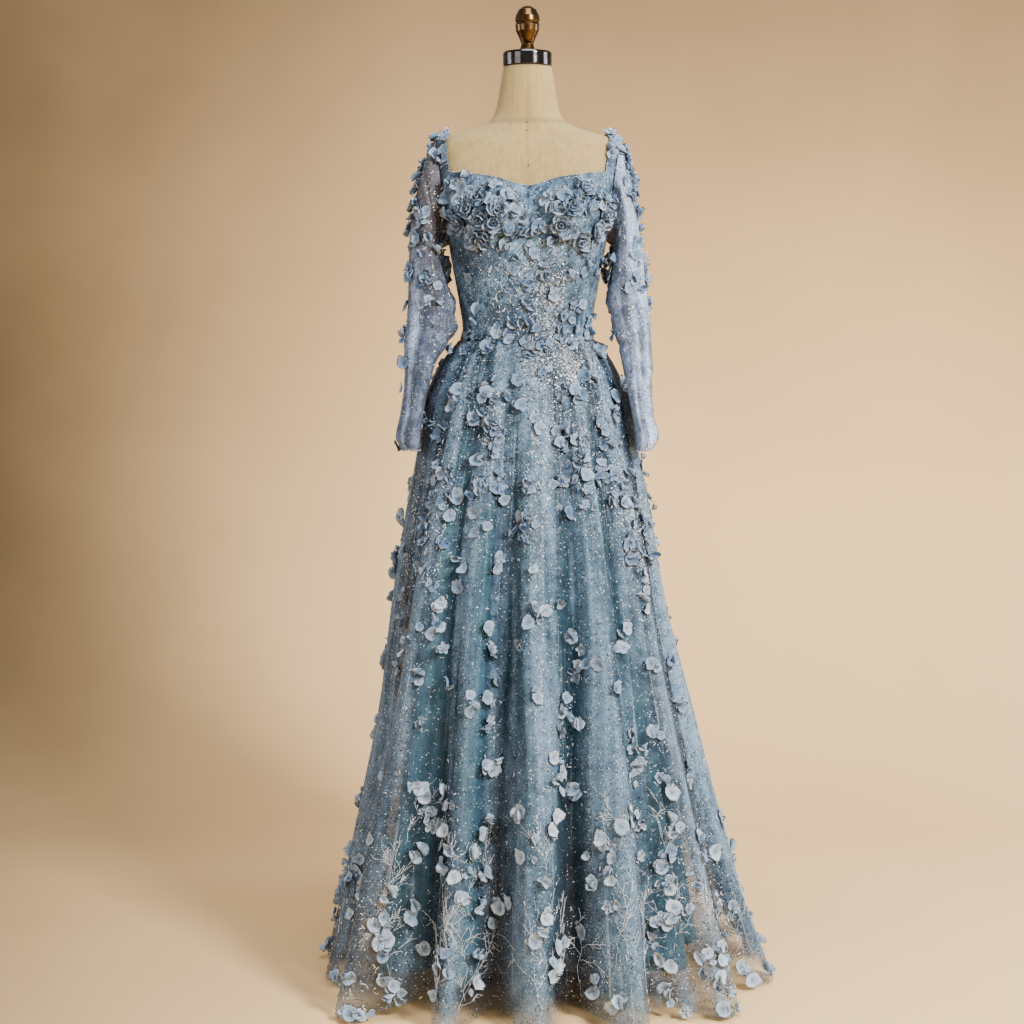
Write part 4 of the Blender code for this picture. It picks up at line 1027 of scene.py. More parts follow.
def fold_shape(number, height):
    """Angle and stand-out of cloth at a fold number and height."""
    hip, hem, out, top = np.array(FOLDS, float).T
    first = np.minimum(number.astype(int), len(FOLDS) - 2)
    share = number - first
    eased = (1 - np.cos(np.pi * share)) / 2
    up = np.clip((height - HEM) / (WAIST - HEM), 0, 1) ** FOLD_DRIFT

    def stood(i):
        grown = np.clip((top[i] - height) / (top[i] - HEM), 0, 1) ** FOLD_GROWTH
        return out[i] * grown

    def turned_to(i):
        return hem[i] + (hip[i] - hem[i]) * up

    angle = turned_to(first) * (1 - share) + turned_to(first + 1) * share
    return angle, stood(first) * (1 - eased) + stood(first + 1) * eased


def net_point(number, height, out=0.0):
    """A point that far outside the inside of the overskirt."""
    number, height = np.broadcast_arrays(number, height)
    angle, stood = fold_shape(number, height)
    across, depth = side_values(SKIRT_SECTIONS, SKIRT_COLUMNS, height, angle)
    radius = ring(angle, across, depth, SKIRT_SQUARENESS) + stood
    fade = np.clip((WAIST - height) / FADE_BELOW_WAIST, 0, 1)
    moved = creased(number, height, NET_CREASES) * fade
    return to_xyz(angle, radius + out + moved, height)


def satin_point(number, height, out=0.0):
    """A point that far outside the outside of the lining."""
    number, height = np.broadcast_arrays(number, height)
    angle, _ = fold_shape(number, height)
    across, depth = side_values(LINING_GAPS, LINING_COLUMNS, height, angle)
    sideways = np.sin(np.radians(angle)) ** 2
    room = across * sideways + depth * (1 - sideways)
    own = creased(number, height, SATIN_CREASES) * np.clip(room / ROOM_FOR_CREASES, 0, 1)
    return net_point(number, height, out - room + own)


def skirt_numbers(first, last, steps):
    return np.linspace(first, last, (last - first) * steps + 1)[:, None]


def net_heights(number, rows):
    """Heights up each column of the net, whose hem rises at its recesses."""
    recess = (1 - np.cos(np.pi * number)) / 2
    lift = HEM + HEM_LIFT * recess * (1 + 0.5 * np.sin(number * 1.7))
    return lift + (WAIST - lift) * np.linspace(0, 1, rows)[None, :]


def crest_share(number, rows):
    """1 along a fold's crest, 0 along its recess."""
    return np.repeat((1 + np.cos(np.pi * number)) / 2, rows, axis=1)


def net_density(points):
    """More of the net where it is gathered in and at its sides, less at its sheer hem."""
    x, y, height = np.moveaxis(points, -1, 0)
    gathered_in = np.clip((height - SHEER_BELOW) / (GATHERED_ABOVE - SHEER_BELOW), 0, 1)
    aside = np.clip((np.abs(x) / np.hypot(x, y) - 0.68) / 0.2, 0, 1) * np.clip(height / 500, 0, 1)
    return 0.5 * gathered_in + 0.9 * aside - 0.35 * np.clip((LINING_HEM - height) / 30, 0, 1)


def hollow_shade(number, height):
    """Painted shade: 1 deep in the deepest recesses."""
    number, height = np.broadcast_arrays(number, height)
    return 0.9 * np.clip(-fold_shape(number, height)[1] / 85 - 0.1, 0, 1)


def side_shade(points, most):
    """Painted shade: the net darkened to a mauve grey on its far left, the side away from the key light.
    """
    return most * np.clip((-points[..., 0] - 130) / 170, 0, 1)


def fold_run(number, height):
    """Coordinates in metres that follow the folds, for the shaders of both skins."""
    number, height = np.broadcast_arrays(number, height)
    run = np.stack([number * FOLD_WIDTH, 0 * height, height], axis=-1) * MM
    return np.tile(run.reshape(-1, 3), (2, 1))


def refined(panel, columns, rows):
    """The same grid with more points, on smooth curves through its own."""
    for axis, count in ((0, columns), (1, rows)):
        knots = np.arange(panel.shape[axis])
        at = np.linspace(0, knots[-1], count)
        panel = np.apply_along_axis(lambda line: smooth_curve(at, knots, line), axis, panel)
    return panel


def pleated(panel):
    """Gathers of a cup: ridges that fan out from centre front and fade at its edges."""
    across = np.linspace(0, 1, panel.shape[0])[:, None]
    up = np.linspace(0, 1, panel.shape[1])[None, :]
    fading = (1 - across) ** 0.8 * np.clip(across * 7, 0, 1)
    fading = fading * np.clip(np.minimum(up, 1 - up) * 9, 0, 1)
    moved = 0.0
    for place_at, width, out, bow in PLEATS:
        line = place_at + bow * across * (1 - across)
        moved = moved + out * np.exp(-(((up - line) / width) ** 2))
    return moved * fading


def drawn(panel, table):
    """Soft drag lines of a bodice panel, in shares of its width and height."""
    across = np.linspace(0, 1, panel.shape[0])[:, None]
    up = np.linspace(0, 1, panel.shape[1])[None, :]
    edge_fade = np.clip(np.minimum(up, 1 - up) * 6, 0, 1)
    moved = 0.0
    for start, end, width, out in table:
        moved = moved + out * np.exp(-(((across - start - (end - start) * up) / width) ** 2))
    return moved * edge_fade


def bodice_grids(strap):
    """Angle and height grids of the bodice panels, right side, as in the part."""
    cup = cup_grid(strap)
    span = np.linspace(-PRINCESS, PRINCESS, 13)
    top = neck_edge(UNDERBUST, np.abs(span))
    top[:, 0] = span
    heights = np.linspace(WAIST, top[0, 1], 6)
    front = coons(waist_edge(span), top, edge(-PRINCESS, heights), edge(PRINCESS, heights))

    cup_part = np.linspace(PRINCESS, cup[-1, 0, 0], 6)[:-1]
    armpit = armhole_edge(np.linspace(CUP_TURN, 180, 3))
    top = np.concatenate([neck_edge(UNDERBUST, cup_part), armpit])
    bottom = waist_edge(np.linspace(PRINCESS, armpit[-1, 0], len(top)))
    start = edge(PRINCESS, np.linspace(WAIST, top[0, 1], 6))
    end = edge(armpit[-1, 0], np.linspace(WAIST, top[-1, 1], 6))
    side = coons(bottom, top, start, end)

    inner_angle, inner_height = angle_height(strap[-1, -1])
    below = edge(armpit[-1, 0], np.linspace(WAIST, armpit[-1, 1], 5))
    above = armhole_edge(np.linspace(180, 360 - STRAP_TURN, 6))
    start = np.concatenate([below, above[1:]])
    neck = neck_edge(BACK_NECKLINE, np.linspace(inner_angle + 2.2, 180, 9))
    top = np.concatenate([above[-1:], edge([inner_angle], [inner_height]), neck])
    bottom = waist_edge(np.linspace(armpit[-1, 0], 180, len(top)))
    end = edge(180, np.linspace(WAIST, top[-1, 1], len(start)))
    back = coons(bottom, top, start, end)
    return cup, front, side, back


def softened_neck(panel):
    """The cups' top edge rounded where they meet at centre front."""
    up = np.linspace(0, 1, panel.shape[1])[None, :]
    angle = panel[..., 0]
    lift = NECK_SLOPE * (np.sqrt(angle**2 + NECK_ROUND**2) - np.abs(angle))
    return panel + np.stack([0 * lift, lift * up**4], axis=-1)


def bodice_shell(panel, raised, sizes):
    """Outside and inside of a bodice panel, with its own gathers."""
    panel = refined(panel, *sizes)
    if raised is pleated:
        panel = softened_neck(panel)
    lifted = raised(panel)
    angle, height = panel[..., 0], panel[..., 1]
    return [bodice(angle, height, lifted + out) for out in (BODICE_WALL, BODICE_INSIDE)]


def sleeve_grid(table, sign):
    """The outside of a sleeve: columns round it, rows up from the cuff to the armhole."""
    turns = np.arange(SLEEVE_STEPS) * 360 / SLEEVE_STEPS
    first = bodice(*angle_height(armhole_on_form(turns)), BODICE_WALL + SLEEVE_LAP)
    rows = np.array(table, float)
    place_at = np.linspace(0, len(rows) - 1, SLEEVE_ROWS)
    values = [smooth_curve(place_at, np.arange(len(rows)), c) for c in rows.T]
    outer_x, outer_z, inner_x, inner_z, forward, half_depth, lean = np.array(values)[:, None]
    out, ahead = np.cos(np.radians(turns))[:, None], np.sin(np.radians(turns))[:, None]
    x = (outer_x + inner_x) / 2 + (outer_x - inner_x) / 2 * out - lean * ahead
    y = ARMHOLE_BACK - forward - half_depth * ahead
    z = (outer_z + inner_z) / 2 + (outer_z - inner_z) / 2 * out
    grid = np.concatenate([first[:, None], np.stack([x, y, z], axis=-1)], axis=1)
    knots = np.arange(grid.shape[1])
    at = np.linspace(0, knots[-1], SLEEVE_LENGTH_STEPS)
    grid = np.apply_along_axis(lambda line: smooth_curve(at, knots, line), 1, grid)
    moved = sleeve_creases(turns[:, None], at[None, :], SLEEVE_CREASES[sign])[..., None]
    if sign > 0:
        grid, moved = grid[::-1, ::-1], moved[::-1, ::-1]
    else:
        grid, moved = grid[:, ::-1] * (-1, 1, 1), moved[:, ::-1]
    return grid + grid_normals(grid, around=True) * moved


def sleeve_creases(turn, row, table):
    """Bends at the elbow and soft lengths down the sleeve. Turn 0 is outwards, 90 in front."""
    moved = 0.0
    for place_at, facing, slant, width, out in table:
        away = np.radians(turn - facing)
        line = place_at + slant * np.sin(away)
        reach = np.clip(0.35 + np.cos(away), 0, 1)
        moved = moved + out * reach * np.exp(-(((row - line) / width) ** 2))
    for facing, width, out in SLEEVE_LENGTHS:
        away = np.mod(turn - facing + 180, 360) - 180
        run = np.clip(np.minimum(row - 2, 14 - row) / 3, 0, 1)
        moved = moved + out * run * np.exp(-((away / width) ** 2))
    return moved


# ---------------------------------------------------------------------- cloth pieces


def skirt_pieces(finish):
    """Overskirt and lining, each in a front and two backs. Returns the overskirt's cloths."""
    made = {}
    for name, first, last, steps in SKIRT_PARTS:
        number = skirt_numbers(first, last, steps)
        height = net_heights(number, NET_ROWS)
        outside = net_point(number, height, TULLE_WALL)
        inside = net_point(number, height, TULLE_WALL - NET_THICK)
        crest = crest_share(number, NET_ROWS)
        made[name] = Cloth(outside, weight=0.3 + crest[:-1, :-1] ** 1.5)
        # Painted shade: the net is darkened in the deep recesses near the hem and on its far left
        hollow = hollow_shade(number, height) * np.clip((HOLLOW_BELOW - height) / 300, 0, 1)
        shade = np.maximum(side_shade(outside, 0.35), hollow).ravel()
        net = new_piece(
            f"net_{name}", *two_skins(outside, inside), finish["net"], "tulle",
            (f"skirt_{name}",), fold=np.tile(crest.ravel(), 2), run=fold_run(number, height),
            dense=np.tile(net_density(outside).ravel(), 2), shade=np.tile(shade, 2),
        )
        satin_steps = steps * 2 // 3
        number = skirt_numbers(first, last, satin_steps)
        low = LINING_HEM
        height = low + (WAIST - low) * np.linspace(0, 1, SATIN_ROWS)[None, :]
        outside, inside = (satin_point(number, height, out) for out in (0, -LINING_WALL))
        shares = np.tile(crest_share(number, SATIN_ROWS).ravel(), 2)
        satin = new_piece(
            f"satin_{name}", *two_skins(outside, inside), finish["satin"], "satin",
            (f"lining_{name}",), fold=shares, run=fold_run(number, height),
            shade=np.tile(hollow_shade(number, height).ravel(), 2),
        )
    return made


def bodice_pieces(finish):
    """Cups, panels and straps. Returns their cloths by name."""
    strap = strap_grid()
    cup, front, side, back = bodice_grids(strap)
    shells = {
        "cup_right": bodice_shell(cup, pleated, (64, 50)),
        "bodice_side_right": bodice_shell(side, lambda p: drawn(p, SIDE_DRAGS), (36, 50)),
        "bodice_back_right": bodice_shell(back, lambda p: drawn(p, BACK_DRAGS), (48, 52)),
    }
    away = field_normal(strap)
    room = form_room(strap[..., 2])[..., None]
    skins = [(strap + away * (room + out))[::-1] for out in (BODICE_WALL, BODICE_INSIDE)]
    shells["strap_right"] = [refined(skin, 9, 70) for skin in skins]
    for name in list(shells):
        shells[name.replace("right", "left")] = [mirrored(skin) for skin in shells[name]]
    shells["bodice_front"] = bodice_shell(front, lambda p: drawn(p, FRONT_DRAGS), (62, 50))
    cloths = {}
    for name, (outside, inside) in shells.items():
        cloths[name] = Cloth(outside)
        points, faces = two_skins(outside, inside)
        piece = new_piece(f"cloth_{name}", points, faces, finish["bodice"], "bodice", (name,))
    return cloths


def sleeve_pieces(finish):
    cloths = {}
    for name, table, sign, painted_shade in (("left", SLEEVE_LEFT, -1, 0.9), ("right", SLEEVE_RIGHT, 1, 0.15)):
        outside = sleeve_grid(table, sign)
        inside = outside - grid_normals(outside, around=True) * SLEEVE_THICK
        cloths[name] = Cloth(outside, around=True)
        around, along = np.indices(outside.shape[:2])
        run = np.stack([around * SLEEVE_STEP_WIDTH, 0 * along, outside[..., 2]], axis=-1) * MM
        shade = 0.35 + 0.3 * np.cos(around * 2 * np.pi / SLEEVE_STEPS)
        # Painted shade: the upper sleeve darkens towards the net's shade colour, strongly on the left
        # sleeve and slightly on the right
        high = np.clip((outside[..., 2] - 1180) / 220, 0, 1)
        points, faces = two_skins(outside, inside, around=True)
        piece = new_piece(
            f"sleeve_net_{name}", points, faces, finish["sleeve"], "sleeve",
            (f"sleeve_{name}",), fold=np.tile(shade.ravel(), 2), run=np.tile(run.reshape(-1, 3), (2, 1)),
            dense=np.tile((0.65 - 0.05 * high).ravel(), 2), shade=np.tile((painted_shade * high).ravel(), 2),
        )
    return cloths


def form_pieces(finish):
    """The linen torso, the neck cap and the finial."""
    angle = np.arange(TORSO_STEPS)[:, None] * 360 / TORSO_STEPS
    height = np.linspace(TORSO_BOTTOM, NECK_TOP, TORSO_ROWS)[None, :]
    skin = body(angle, height, FORM_BUST)
    bottom, top = skin[:, :1] * (0, 0, 1), skin[:, -1:] * (0, 0, 1)
    points = np.concatenate([bottom, skin, top], axis=1)
    marks = np.zeros((TORSO_STEPS, TORSO_ROWS))
    for seam, depth in TORSO_SEAMS:
        away = np.mod(angle - seam + 180, 360) - 180
        width = np.linalg.norm(skin[..., :2], axis=-1) * np.radians(np.abs(away))
        marks = np.maximum(marks, depth * np.exp(-((width / SEAM_HALF_WIDTH) ** 2)))
    around = np.exp(-(((height - NECK_SEAM) / SEAM_HALF_WIDTH) ** 2))
    marks = np.maximum(marks, around)
    normals = grid_normals(skin, around=True)
    points[:, 1:-1] -= normals * marks[..., None] * SEAM_DEPTH
    marks = np.pad(marks, ((0, 0), (1, 1)))
    new_piece(
        "form_linen", points, grid_faces(*points.shape[:2], around=True),
        finish["linen"], "linen", ("form_torso",), tone=marks,
    )
    turned_piece("form_cap", CAP_PROFILE, finish["chrome"], "chrome", "form_neck_cap")
    turned_piece("form_knob", FINIAL_PROFILE, finish["bronze"], "bronze", "form_finial")


def turned_piece(name, profile, finish, slot, node):
    """A turned solid with softened corners, from a profile that runs down."""
    profile = np.array(profile, float)[::-1]
    stations = []
    for first, last in zip(profile[:-1], profile[1:]):
        stations += [first + (last - first) * share for share in (0, 0.06, 0.94)]
    stations = np.array(stations + [profile[-1]])
    turn = np.radians(np.arange(TURNED_STEPS) * 360 / TURNED_STEPS)[:, None]
    radius, height = stations[:, 0][None], stations[:, 1][None]
    around = np.stack(
        [radius * np.sin(turn), -radius * np.cos(turn), height + 0 * turn], axis=-1
    )
    faces = grid_faces(*around.shape[:2], around=True)
    new_piece(name, around, faces, finish, slot, (node,))


# -------------------------------------------------------------- petals, sequins, beads


def petal_shape(dice, cup, hinge, other_hinge=0.0, sides=12):
    """A crinkled petal of unit radius as a thin closed disc, in quads, and its rim share."""
    rings = np.array([0.0, 0.45, 0.8, 1.0, 0.7, 0.0])[:, None]
    turn = np.radians(np.arange(sides) * 360 / sides)[None, :]
    radius = 0 * turn + rings
    for waves, high in OUTLINE_WAVES:
        depth = high * dice.uniform(0.3, 1.3)
        radius = radius * (1 + depth * rings * np.sin(waves * turn + dice.uniform(0, 6)))
    x, y = radius * np.cos(turn), radius * np.sin(turn)
    z = cup * radius**2
    for waves, high in HEIGHT_WAVES:
        z = z + high * dice.uniform(0.3, 1.4) * rings**2 * np.sin(waves * turn + dice.uniform(0, 6))
    for side, lean in ((-1, math.radians(hinge)), (1, math.radians(other_hinge))):
        over = x * side > 0
        x, z = (
            np.where(over, x * math.cos(lean) - side * z * math.sin(lean), x),
            np.where(over, z * math.cos(lean) + side * x * math.sin(lean), z),
        )
    points = np.stack([x, y, z + PETAL_LIFT], axis=-1)
    points[4:, :, 2] -= PETAL_THICK
    faces = grid_faces(sides, len(rings), around=True)
    rim = np.tile(rings[:, 0], sides)
    return points.transpose(1, 0, 2).reshape(-1, 3), faces[:, ::-1], rim


def joined_shapes(shapes):
    """Several placed petals as one shape."""
    points, faces, rims, shift = [], [], [], 0
    for p, f, rim in shapes:
        points.append(p)
        faces.append(f + shift)
        rims.append(rim)
        shift += len(p)
    return np.concatenate(points), np.concatenate(faces), np.concatenate(rims)


def turned_shape(shape, turn, lean, size, out, up):
    """A petal leaned, moved out from the middle, and turned round it."""
    p, f, rim = shape
    c, s = math.cos(lean), math.sin(lean)
    tip = np.array([[c, 0, -s], [0, 1, 0], [s, 0, c]])
    c, s = math.cos(turn), math.sin(turn)
    spin = np.array([[c, -s, 0], [s, c, 0], [0, 0, 1]])
    return ((p * size) @ tip.T + (out, 0, up)) @ spin.T, f, rim


# Rings of a rose, from the outside: petals, lean, size, and how far out and up they stand
ROSE_RINGS = ((5, 0.35, 0.52, 0.5, 0.0), (4, 0.75, 0.42, 0.28, 0.14), (3, 1.1, 0.3, 0.12, 0.24))


def rosette(dice):
    """A rose of petals that stand round each other."""
    shapes = []
    for count, lean, size, out, up in ROSE_RINGS:
        for number in range(count):
            turn = 2 * math.pi * (number + dice.uniform(-0.15, 0.15)) / count + out * 7
            shape = petal_shape(dice, 0.45, 0, sides=10)
            shapes.append(turned_shape(shape, turn, lean, size, out, up))
    return joined_shapes(shapes)


def blossom(dice):
    """A small open flower."""
    shapes = []
    for number in range(5):
        turn = 2 * math.pi * (number + dice.uniform(-0.15, 0.15)) / 5
        shape = petal_shape(dice, 0.35, dice.uniform(0, 30), sides=8)
        shapes.append(turned_shape(shape, turn, 0.3, (0.5, 0.36, 0.5), 0.5, 0.05))
    return joined_shapes(shapes)


def petal_kinds(dice):
    flat = [petal_shape(dice, cup, 0) for cup in (0.18, 0.3, 0.42, 0.25, 0.35)]
    folded = [petal_shape(dice, 0.25, *hinges) for hinges in ((70, 0), (45, 35), (95, 10), (30, 60))]
    return flat + folded + [blossom(dice), blossom(dice), rosette(dice), rosette(dice), rosette(dice)]


FLAT_KINDS, FOLDED_KINDS, BLOSSOMS, ROSES = range(0, 5), range(5, 9), range(9, 11), range(11, 14)
PETAL_MIX = (*FLAT_KINDS, *FLAT_KINDS, *FOLDED_KINDS, *FOLDED_KINDS, *BLOSSOMS)


class Petals:
    """Petals gathered for one piece."""

    def __init__(self, seed):
        self.dice = np.random.default_rng(seed)
        self.kinds = petal_kinds(self.dice)
        self.stamps, self.tones, self.rims = [], [], []

    def lay(self, cloth, i, j, sizes, kinds, pale=(0.2, 1.0), lean=(0.05, 0.7), out=(0.3, 3.5)):
        dice = self.dice
        centres, normals, ups = cloth.at(np.asarray(i, float), np.asarray(j, float))
        centres[:, 2] = np.maximum(centres[:, 2], sizes * ABOVE_FLOOR)
        for kind in np.unique(kinds):
            pick = kinds == kind
            points, faces, rim = self.kinds[kind]
            number = pick.sum()
            axes = axes_on(
                normals[pick], ups[pick], dice.uniform(0, 6.3, number), dice.uniform(*lean, number)
            )
            placed = centres[pick] + normals[pick] * dice.uniform(*out, number)[:, None]
            self.stamps.append(stamped((points, faces), placed, axes, sizes[pick]))
            self.tones.append(np.repeat(dice.uniform(*pale, number), len(points)))
            self.rims.append(np.tile(rim, number))

    def group(self, cloth, i, j, count, spread, size, mix=PETAL_MIX, **look):
        """Some petals round a cell."""
        dice = self.dice
        across, up = dice.normal(0, spread * 0.75, (2, count))
        sizes = dice.uniform(*size, count)
        sizes[0] = size[1]
        self.lay(cloth, *cloth.walk(i, j, across, up), sizes, dice.choice(mix, count), **look)

    def groups(self, cloths, table, size, **look):
        """The groups of a table, on whichever cloth lies there in front."""
        for x, height, count, spread in table:
            near = [cloth.nearest(x, height) for cloth in cloths]
            best = min(range(len(cloths)), key=lambda number: near[number][2])
            i, j, _ = near[best]
            self.group(cloths[best], i, j, count, spread, size, **look)

    def scatter(self, cloth, groups, density, size, count=(1, 5), spread=14, **look):
        """Groups spread over a cloth."""
        i, j = cloth.scatter(groups, density, self.dice)
        for at_i, at_j in zip(i, j):
            self.group(cloth, at_i, at_j, self.dice.integers(*count), spread, size, **look)

    def piece(self, name, finish, under, nodes=()):
        points, faces = gathered(self.stamps)
        made = new_piece(
            name, points, faces, finish, "petal", nodes,
            tone=np.concatenate(self.tones), rim=np.concatenate(self.rims),
        )
        areas = np.empty(len(faces))
        made.data.polygons.foreach_get("area", areas)


SIXTHS = np.radians(np.arange(0, 360, 60))
HEXAGON = (
    np.stack([np.cos(SIXTHS), np.sin(SIXTHS), 0 * SIXTHS + 0.12], axis=1),
    np.array([[0, 1, 2, 3, 4, 5]]),
)
GOLDEN = (1 + 5**0.5) / 2
BEAD = (
    unit(np.array([
        (-1, GOLDEN, 0), (1, GOLDEN, 0), (-1, -GOLDEN, 0), (1, -GOLDEN, 0),
        (0, -1, GOLDEN), (0, 1, GOLDEN), (0, -1, -GOLDEN), (0, 1, -GOLDEN),
        (GOLDEN, 0, -1), (GOLDEN, 0, 1), (-GOLDEN, 0, -1), (-GOLDEN, 0, 1),
    ])) + (0, 0, 0.6),
    np.array([
        (0, 11, 5), (0, 5, 1), (0, 1, 7), (0, 7, 10), (0, 10, 11), (1, 5, 9), (5, 11, 4),
        (11, 10, 2), (10, 7, 6), (7, 1, 8), (3, 9, 4), (3, 4, 2), (3, 2, 6), (3, 6, 8),
        (3, 8, 9), (4, 9, 5), (2, 4, 11), (6, 2, 10), (8, 6, 7), (9, 8, 1),
    ]),
)


def bugle(sides=4):
    """A tube bead, one unit long along Y, of unit radius."""
    turn = np.radians(np.arange(sides) * 360 / sides)
    ring_points = np.stack([np.cos(turn), 0 * turn, 1 + np.sin(turn)], axis=-1)
    points = np.concatenate([ring_points - (0, 0.5, 0), ring_points + (0, 0.5, 0)])
    here = np.arange(sides)
    there = (here + 1) % sides
    faces = np.stack([here, here + sides, there + sides, there], axis=1)
    near = np.array([[0, k, k + 1, k + 2] for k in range(1, sides - 2, 2)])
    return points, np.concatenate([faces, near, near[:, ::-1] + sides])


class Trims:
    """Small hard trims of one shape, gathered for one piece."""

    def __init__(self, shape, seed, least=0.65):
        self.shape = shape
        self.least = least
        self.dice = np.random.default_rng(seed)
        self.stamps, self.tones = [], []

    def keep(self, centres, axes, sizes, dark):
        """Copies of the shape, some share of them dark."""
        self.stamps.append(stamped(self.shape, centres, axes, sizes))
        count = len(centres)
        tones = self.least + (1 - self.least) * self.dice.random(count) ** 2
        tones = np.where(self.dice.random(count) < dark, self.dice.uniform(0, 0.25, count), tones)
        self.tones.append(np.repeat(tones, len(self.shape[0])))

    def lay(self, cloth, i, j, sizes, dark=0.4, lean=(0, 0.5), out=0.2):
        count = len(i)
        centres, normals, ups = cloth.at(np.asarray(i, float), np.asarray(j, float))
        spin = self.dice.uniform(0, 6.3, count)
        axes = axes_on(normals, ups, spin, self.dice.uniform(*lean, count))
        self.keep(centres + normals * out, axes, sizes, dark)

    def spread(self, cloth, count, density, size, **look):
        i, j = cloth.scatter(count, density, self.dice)
        sizes = self.dice.uniform(*size, count)[:, None] * np.ones(3)
        self.lay(cloth, i, j, sizes, **look)

    def strand(self, cloth, i, j, radius, dark=0.1):
        """Tube beads end to end along a line of places."""
        points, normals, _ = cloth.at(np.asarray(i, float), np.asarray(j, float))
        along = np.diff(points, axis=0)
        length = np.linalg.norm(along, axis=-1)
        kept = length > 0.5
        along, normal = unit(along[kept]), normals[:-1][kept]
        across = unit(np.cross(along, normal))
        axes = np.stack([across, along, np.cross(across, along)], axis=-1)
        middle = (points[:-1] + points[1:])[kept] / 2
        sizes = np.stack([0 * length + radius, length * 0.9, 0 * length + radius], axis=-1)[kept]
        self.keep(middle, axes, sizes, dark)

    def spray(self, cloth, i, j, heading, length, forks):
        """A branching vine of tube beads, from a cell upwards."""
        dice = self.dice
        count = max(int(length / VINE_STEP), 3)
        bend = heading + 0.75 * np.sin(np.cumsum(dice.normal(0, 0.45, count)))
        across, up = np.cumsum(np.sin(bend)) * VINE_STEP, np.cumsum(np.cos(bend)) * VINE_STEP
        at_i, at_j = cloth.walk(i, j, np.insert(across, 0, 0), np.insert(up, 0, 0))
        columns, rows = cloth.points.shape[:2]
        inside = (at_i > 0) & (at_i < columns - 2) & (at_j > 0) & (at_j < rows - 2)
        last = len(inside) if inside.all() else int(np.argmin(inside))
        if last < 3:
            return
        self.strand(cloth, at_i[:last], at_j[:last], STRAND_RADIUS)
        if forks:
            for start in dice.integers(1, last, 5):
                turned = bend[start - 1] + dice.choice((-1, 1)) * dice.uniform(0.3, 0.9)
                share = dice.uniform(0.3, 0.55)
                self.spray(cloth, at_i[start], at_j[start], turned, length * share, forks - 1)

    def piece(self, name, finish, slot="petal", smooth=True):
        points, faces = gathered(self.stamps)
        tones = np.concatenate(self.tones)
        return new_piece(name, points, faces, finish, slot, (), smooth, tone=tones)


def clouds(groups, floor=0.0, reach=2.2):
    """A density that is thick round the groups of a table."""

    def density(points):
        total = np.full(points.shape[:-1], floor)
        for x, height, count, spread in groups:
            away = (points[..., 0] - x) ** 2 + (points[..., 2] - height) ** 2
            total = total + count * np.exp(-away / (spread * reach) ** 2)
        return total

    return density


def all_over(points):
    return np.ones(points.shape[:-1])


def high_up(low, high, least):
    """A density that grows from one height to another."""

    def density(points):
        return least + (1 - least) * np.clip((points[..., 2] - low) / (high - low), 0, 1)

    return density


def off_the_zip(points):
    """A density that leaves the zip, and the narrow space under the arms, bare."""
    x = np.abs(points[..., 0])
    aside = x / np.hypot(x, points[..., 1])
    under_arms = np.clip((0.93 - aside) * 8 + (points[..., 2] - 1480) / 20, 0.001, 1)
    return under_arms * np.clip((x - ZIP_BARE) / 10, 0.0001, 1)


def bust_petals(finish, panels):
    """Petals and roses over the cups, thinner down the midriff and round the back."""
    cups = {"left": panels["cup_left"], "right": panels["cup_right"]}
    below = ("bodice_front", "bodice_side_left", "bodice_side_right")
    front = [*cups.values(), *(panels[name] for name in below)]
    for side, sign, seed in (("left", -1, 11), ("right", 1, 12)):
        petals = Petals(seed)
        mine = [row for row in BUST_GROUPS if row[0] * sign > 0]
        petals.groups(front, mine, (8, 14), pale=(0.1, 0.75), lean=(0.1, 0.9), out=(0.5, 5))
        roses = [(*row, 1, 1) for row in ROSETTES if row[0] * sign > 0]
        petals.groups(front, roses, (17, 23), mix=ROSES, pale=(0.25, 0.7), lean=(0, 0.25), out=(1, 3))
        petals.piece(
            f"petals_bust_{side}", finish["petal"], [f"cloth_cup_{side}"], (f"applique_bust_{side}",)
        )
    petals = Petals(16)
    petals.groups(front, MIDRIFF_GROUPS, (7, 12), pale=(0.05, 0.55), lean=(0.02, 0.4), out=(0.3, 1.5))
    waist = [(x, WAIST + 6 + 14 * math.sin(x / 5), 2, 14) for x in range(-104, 106, 19)]
    petals.groups(front, waist, (5, 10), pale=(0.05, 0.5), lean=(0.02, 0.3), out=(1.0, 3.0))
    for name, groups in (("bodice_back", 30), ("strap", 9)):
        for side in ("left", "right"):
            cloth = panels[f"{name}_{side}"]
            petals.scatter(cloth, groups, off_the_zip, (7, 11), (1, 4), 9, pale=(0.1, 0.8))
    petals.piece("petals_bodice", finish["petal"], ["cloth_bodice_front"])


def skirt_petals(finish, skirts):
    front = [skirts["front"]]
    petals = Petals(13)
    petals.groups(front, HIP_GROUPS, (6, 13), pale=(0.05, 0.6))
    petals.groups(front, KNEE_GROUPS, (7, 13), pale=(0.2, 0.85), lean=(0.02, 0.5))
    petals.piece("petals_hip", finish["petal"], ["net_front"], ("applique_skirt_front_left",))
    petals = Petals(17)
    petals.groups(front, HEM_GROUPS, (7, 15), pale=(0.55, 1.3), lean=(0.02, 0.5))
    sides = lambda p: np.clip(np.abs(p[..., 0]) / 250 - 0.5, 0, 1)
    petals.scatter(skirts["front"], 46, sides, (7, 12), (1, 5), 14, pale=(0.2, 0.9))
    petals.piece("petals_hem", finish["petal"], ["net_front"], ("applique_skirt_front_right",))
    for name, seed in (("back_right", 14), ("back_left", 15)):
        petals = Petals(seed)
        petals.scatter(skirts[name], 40, high_up(600, 1100, 0.1), (8, 14), (2, 6), 16)
        petals.scatter(skirts[name], 30, all_over, (8, 15), (1, 4), 14, pale=(0.4, 1.0))
        low = lambda p: np.clip(1.3 - p[..., 2] / 330, 0, 1)
        petals.scatter(skirts[name], 34, low, (8, 16), (2, 5), 15, pale=(0.5, 1.2))
        petals.piece(
            f"petals_skirt_{name}", finish["petal"], [f"net_{name}"], (f"applique_skirt_{name}",)
        )


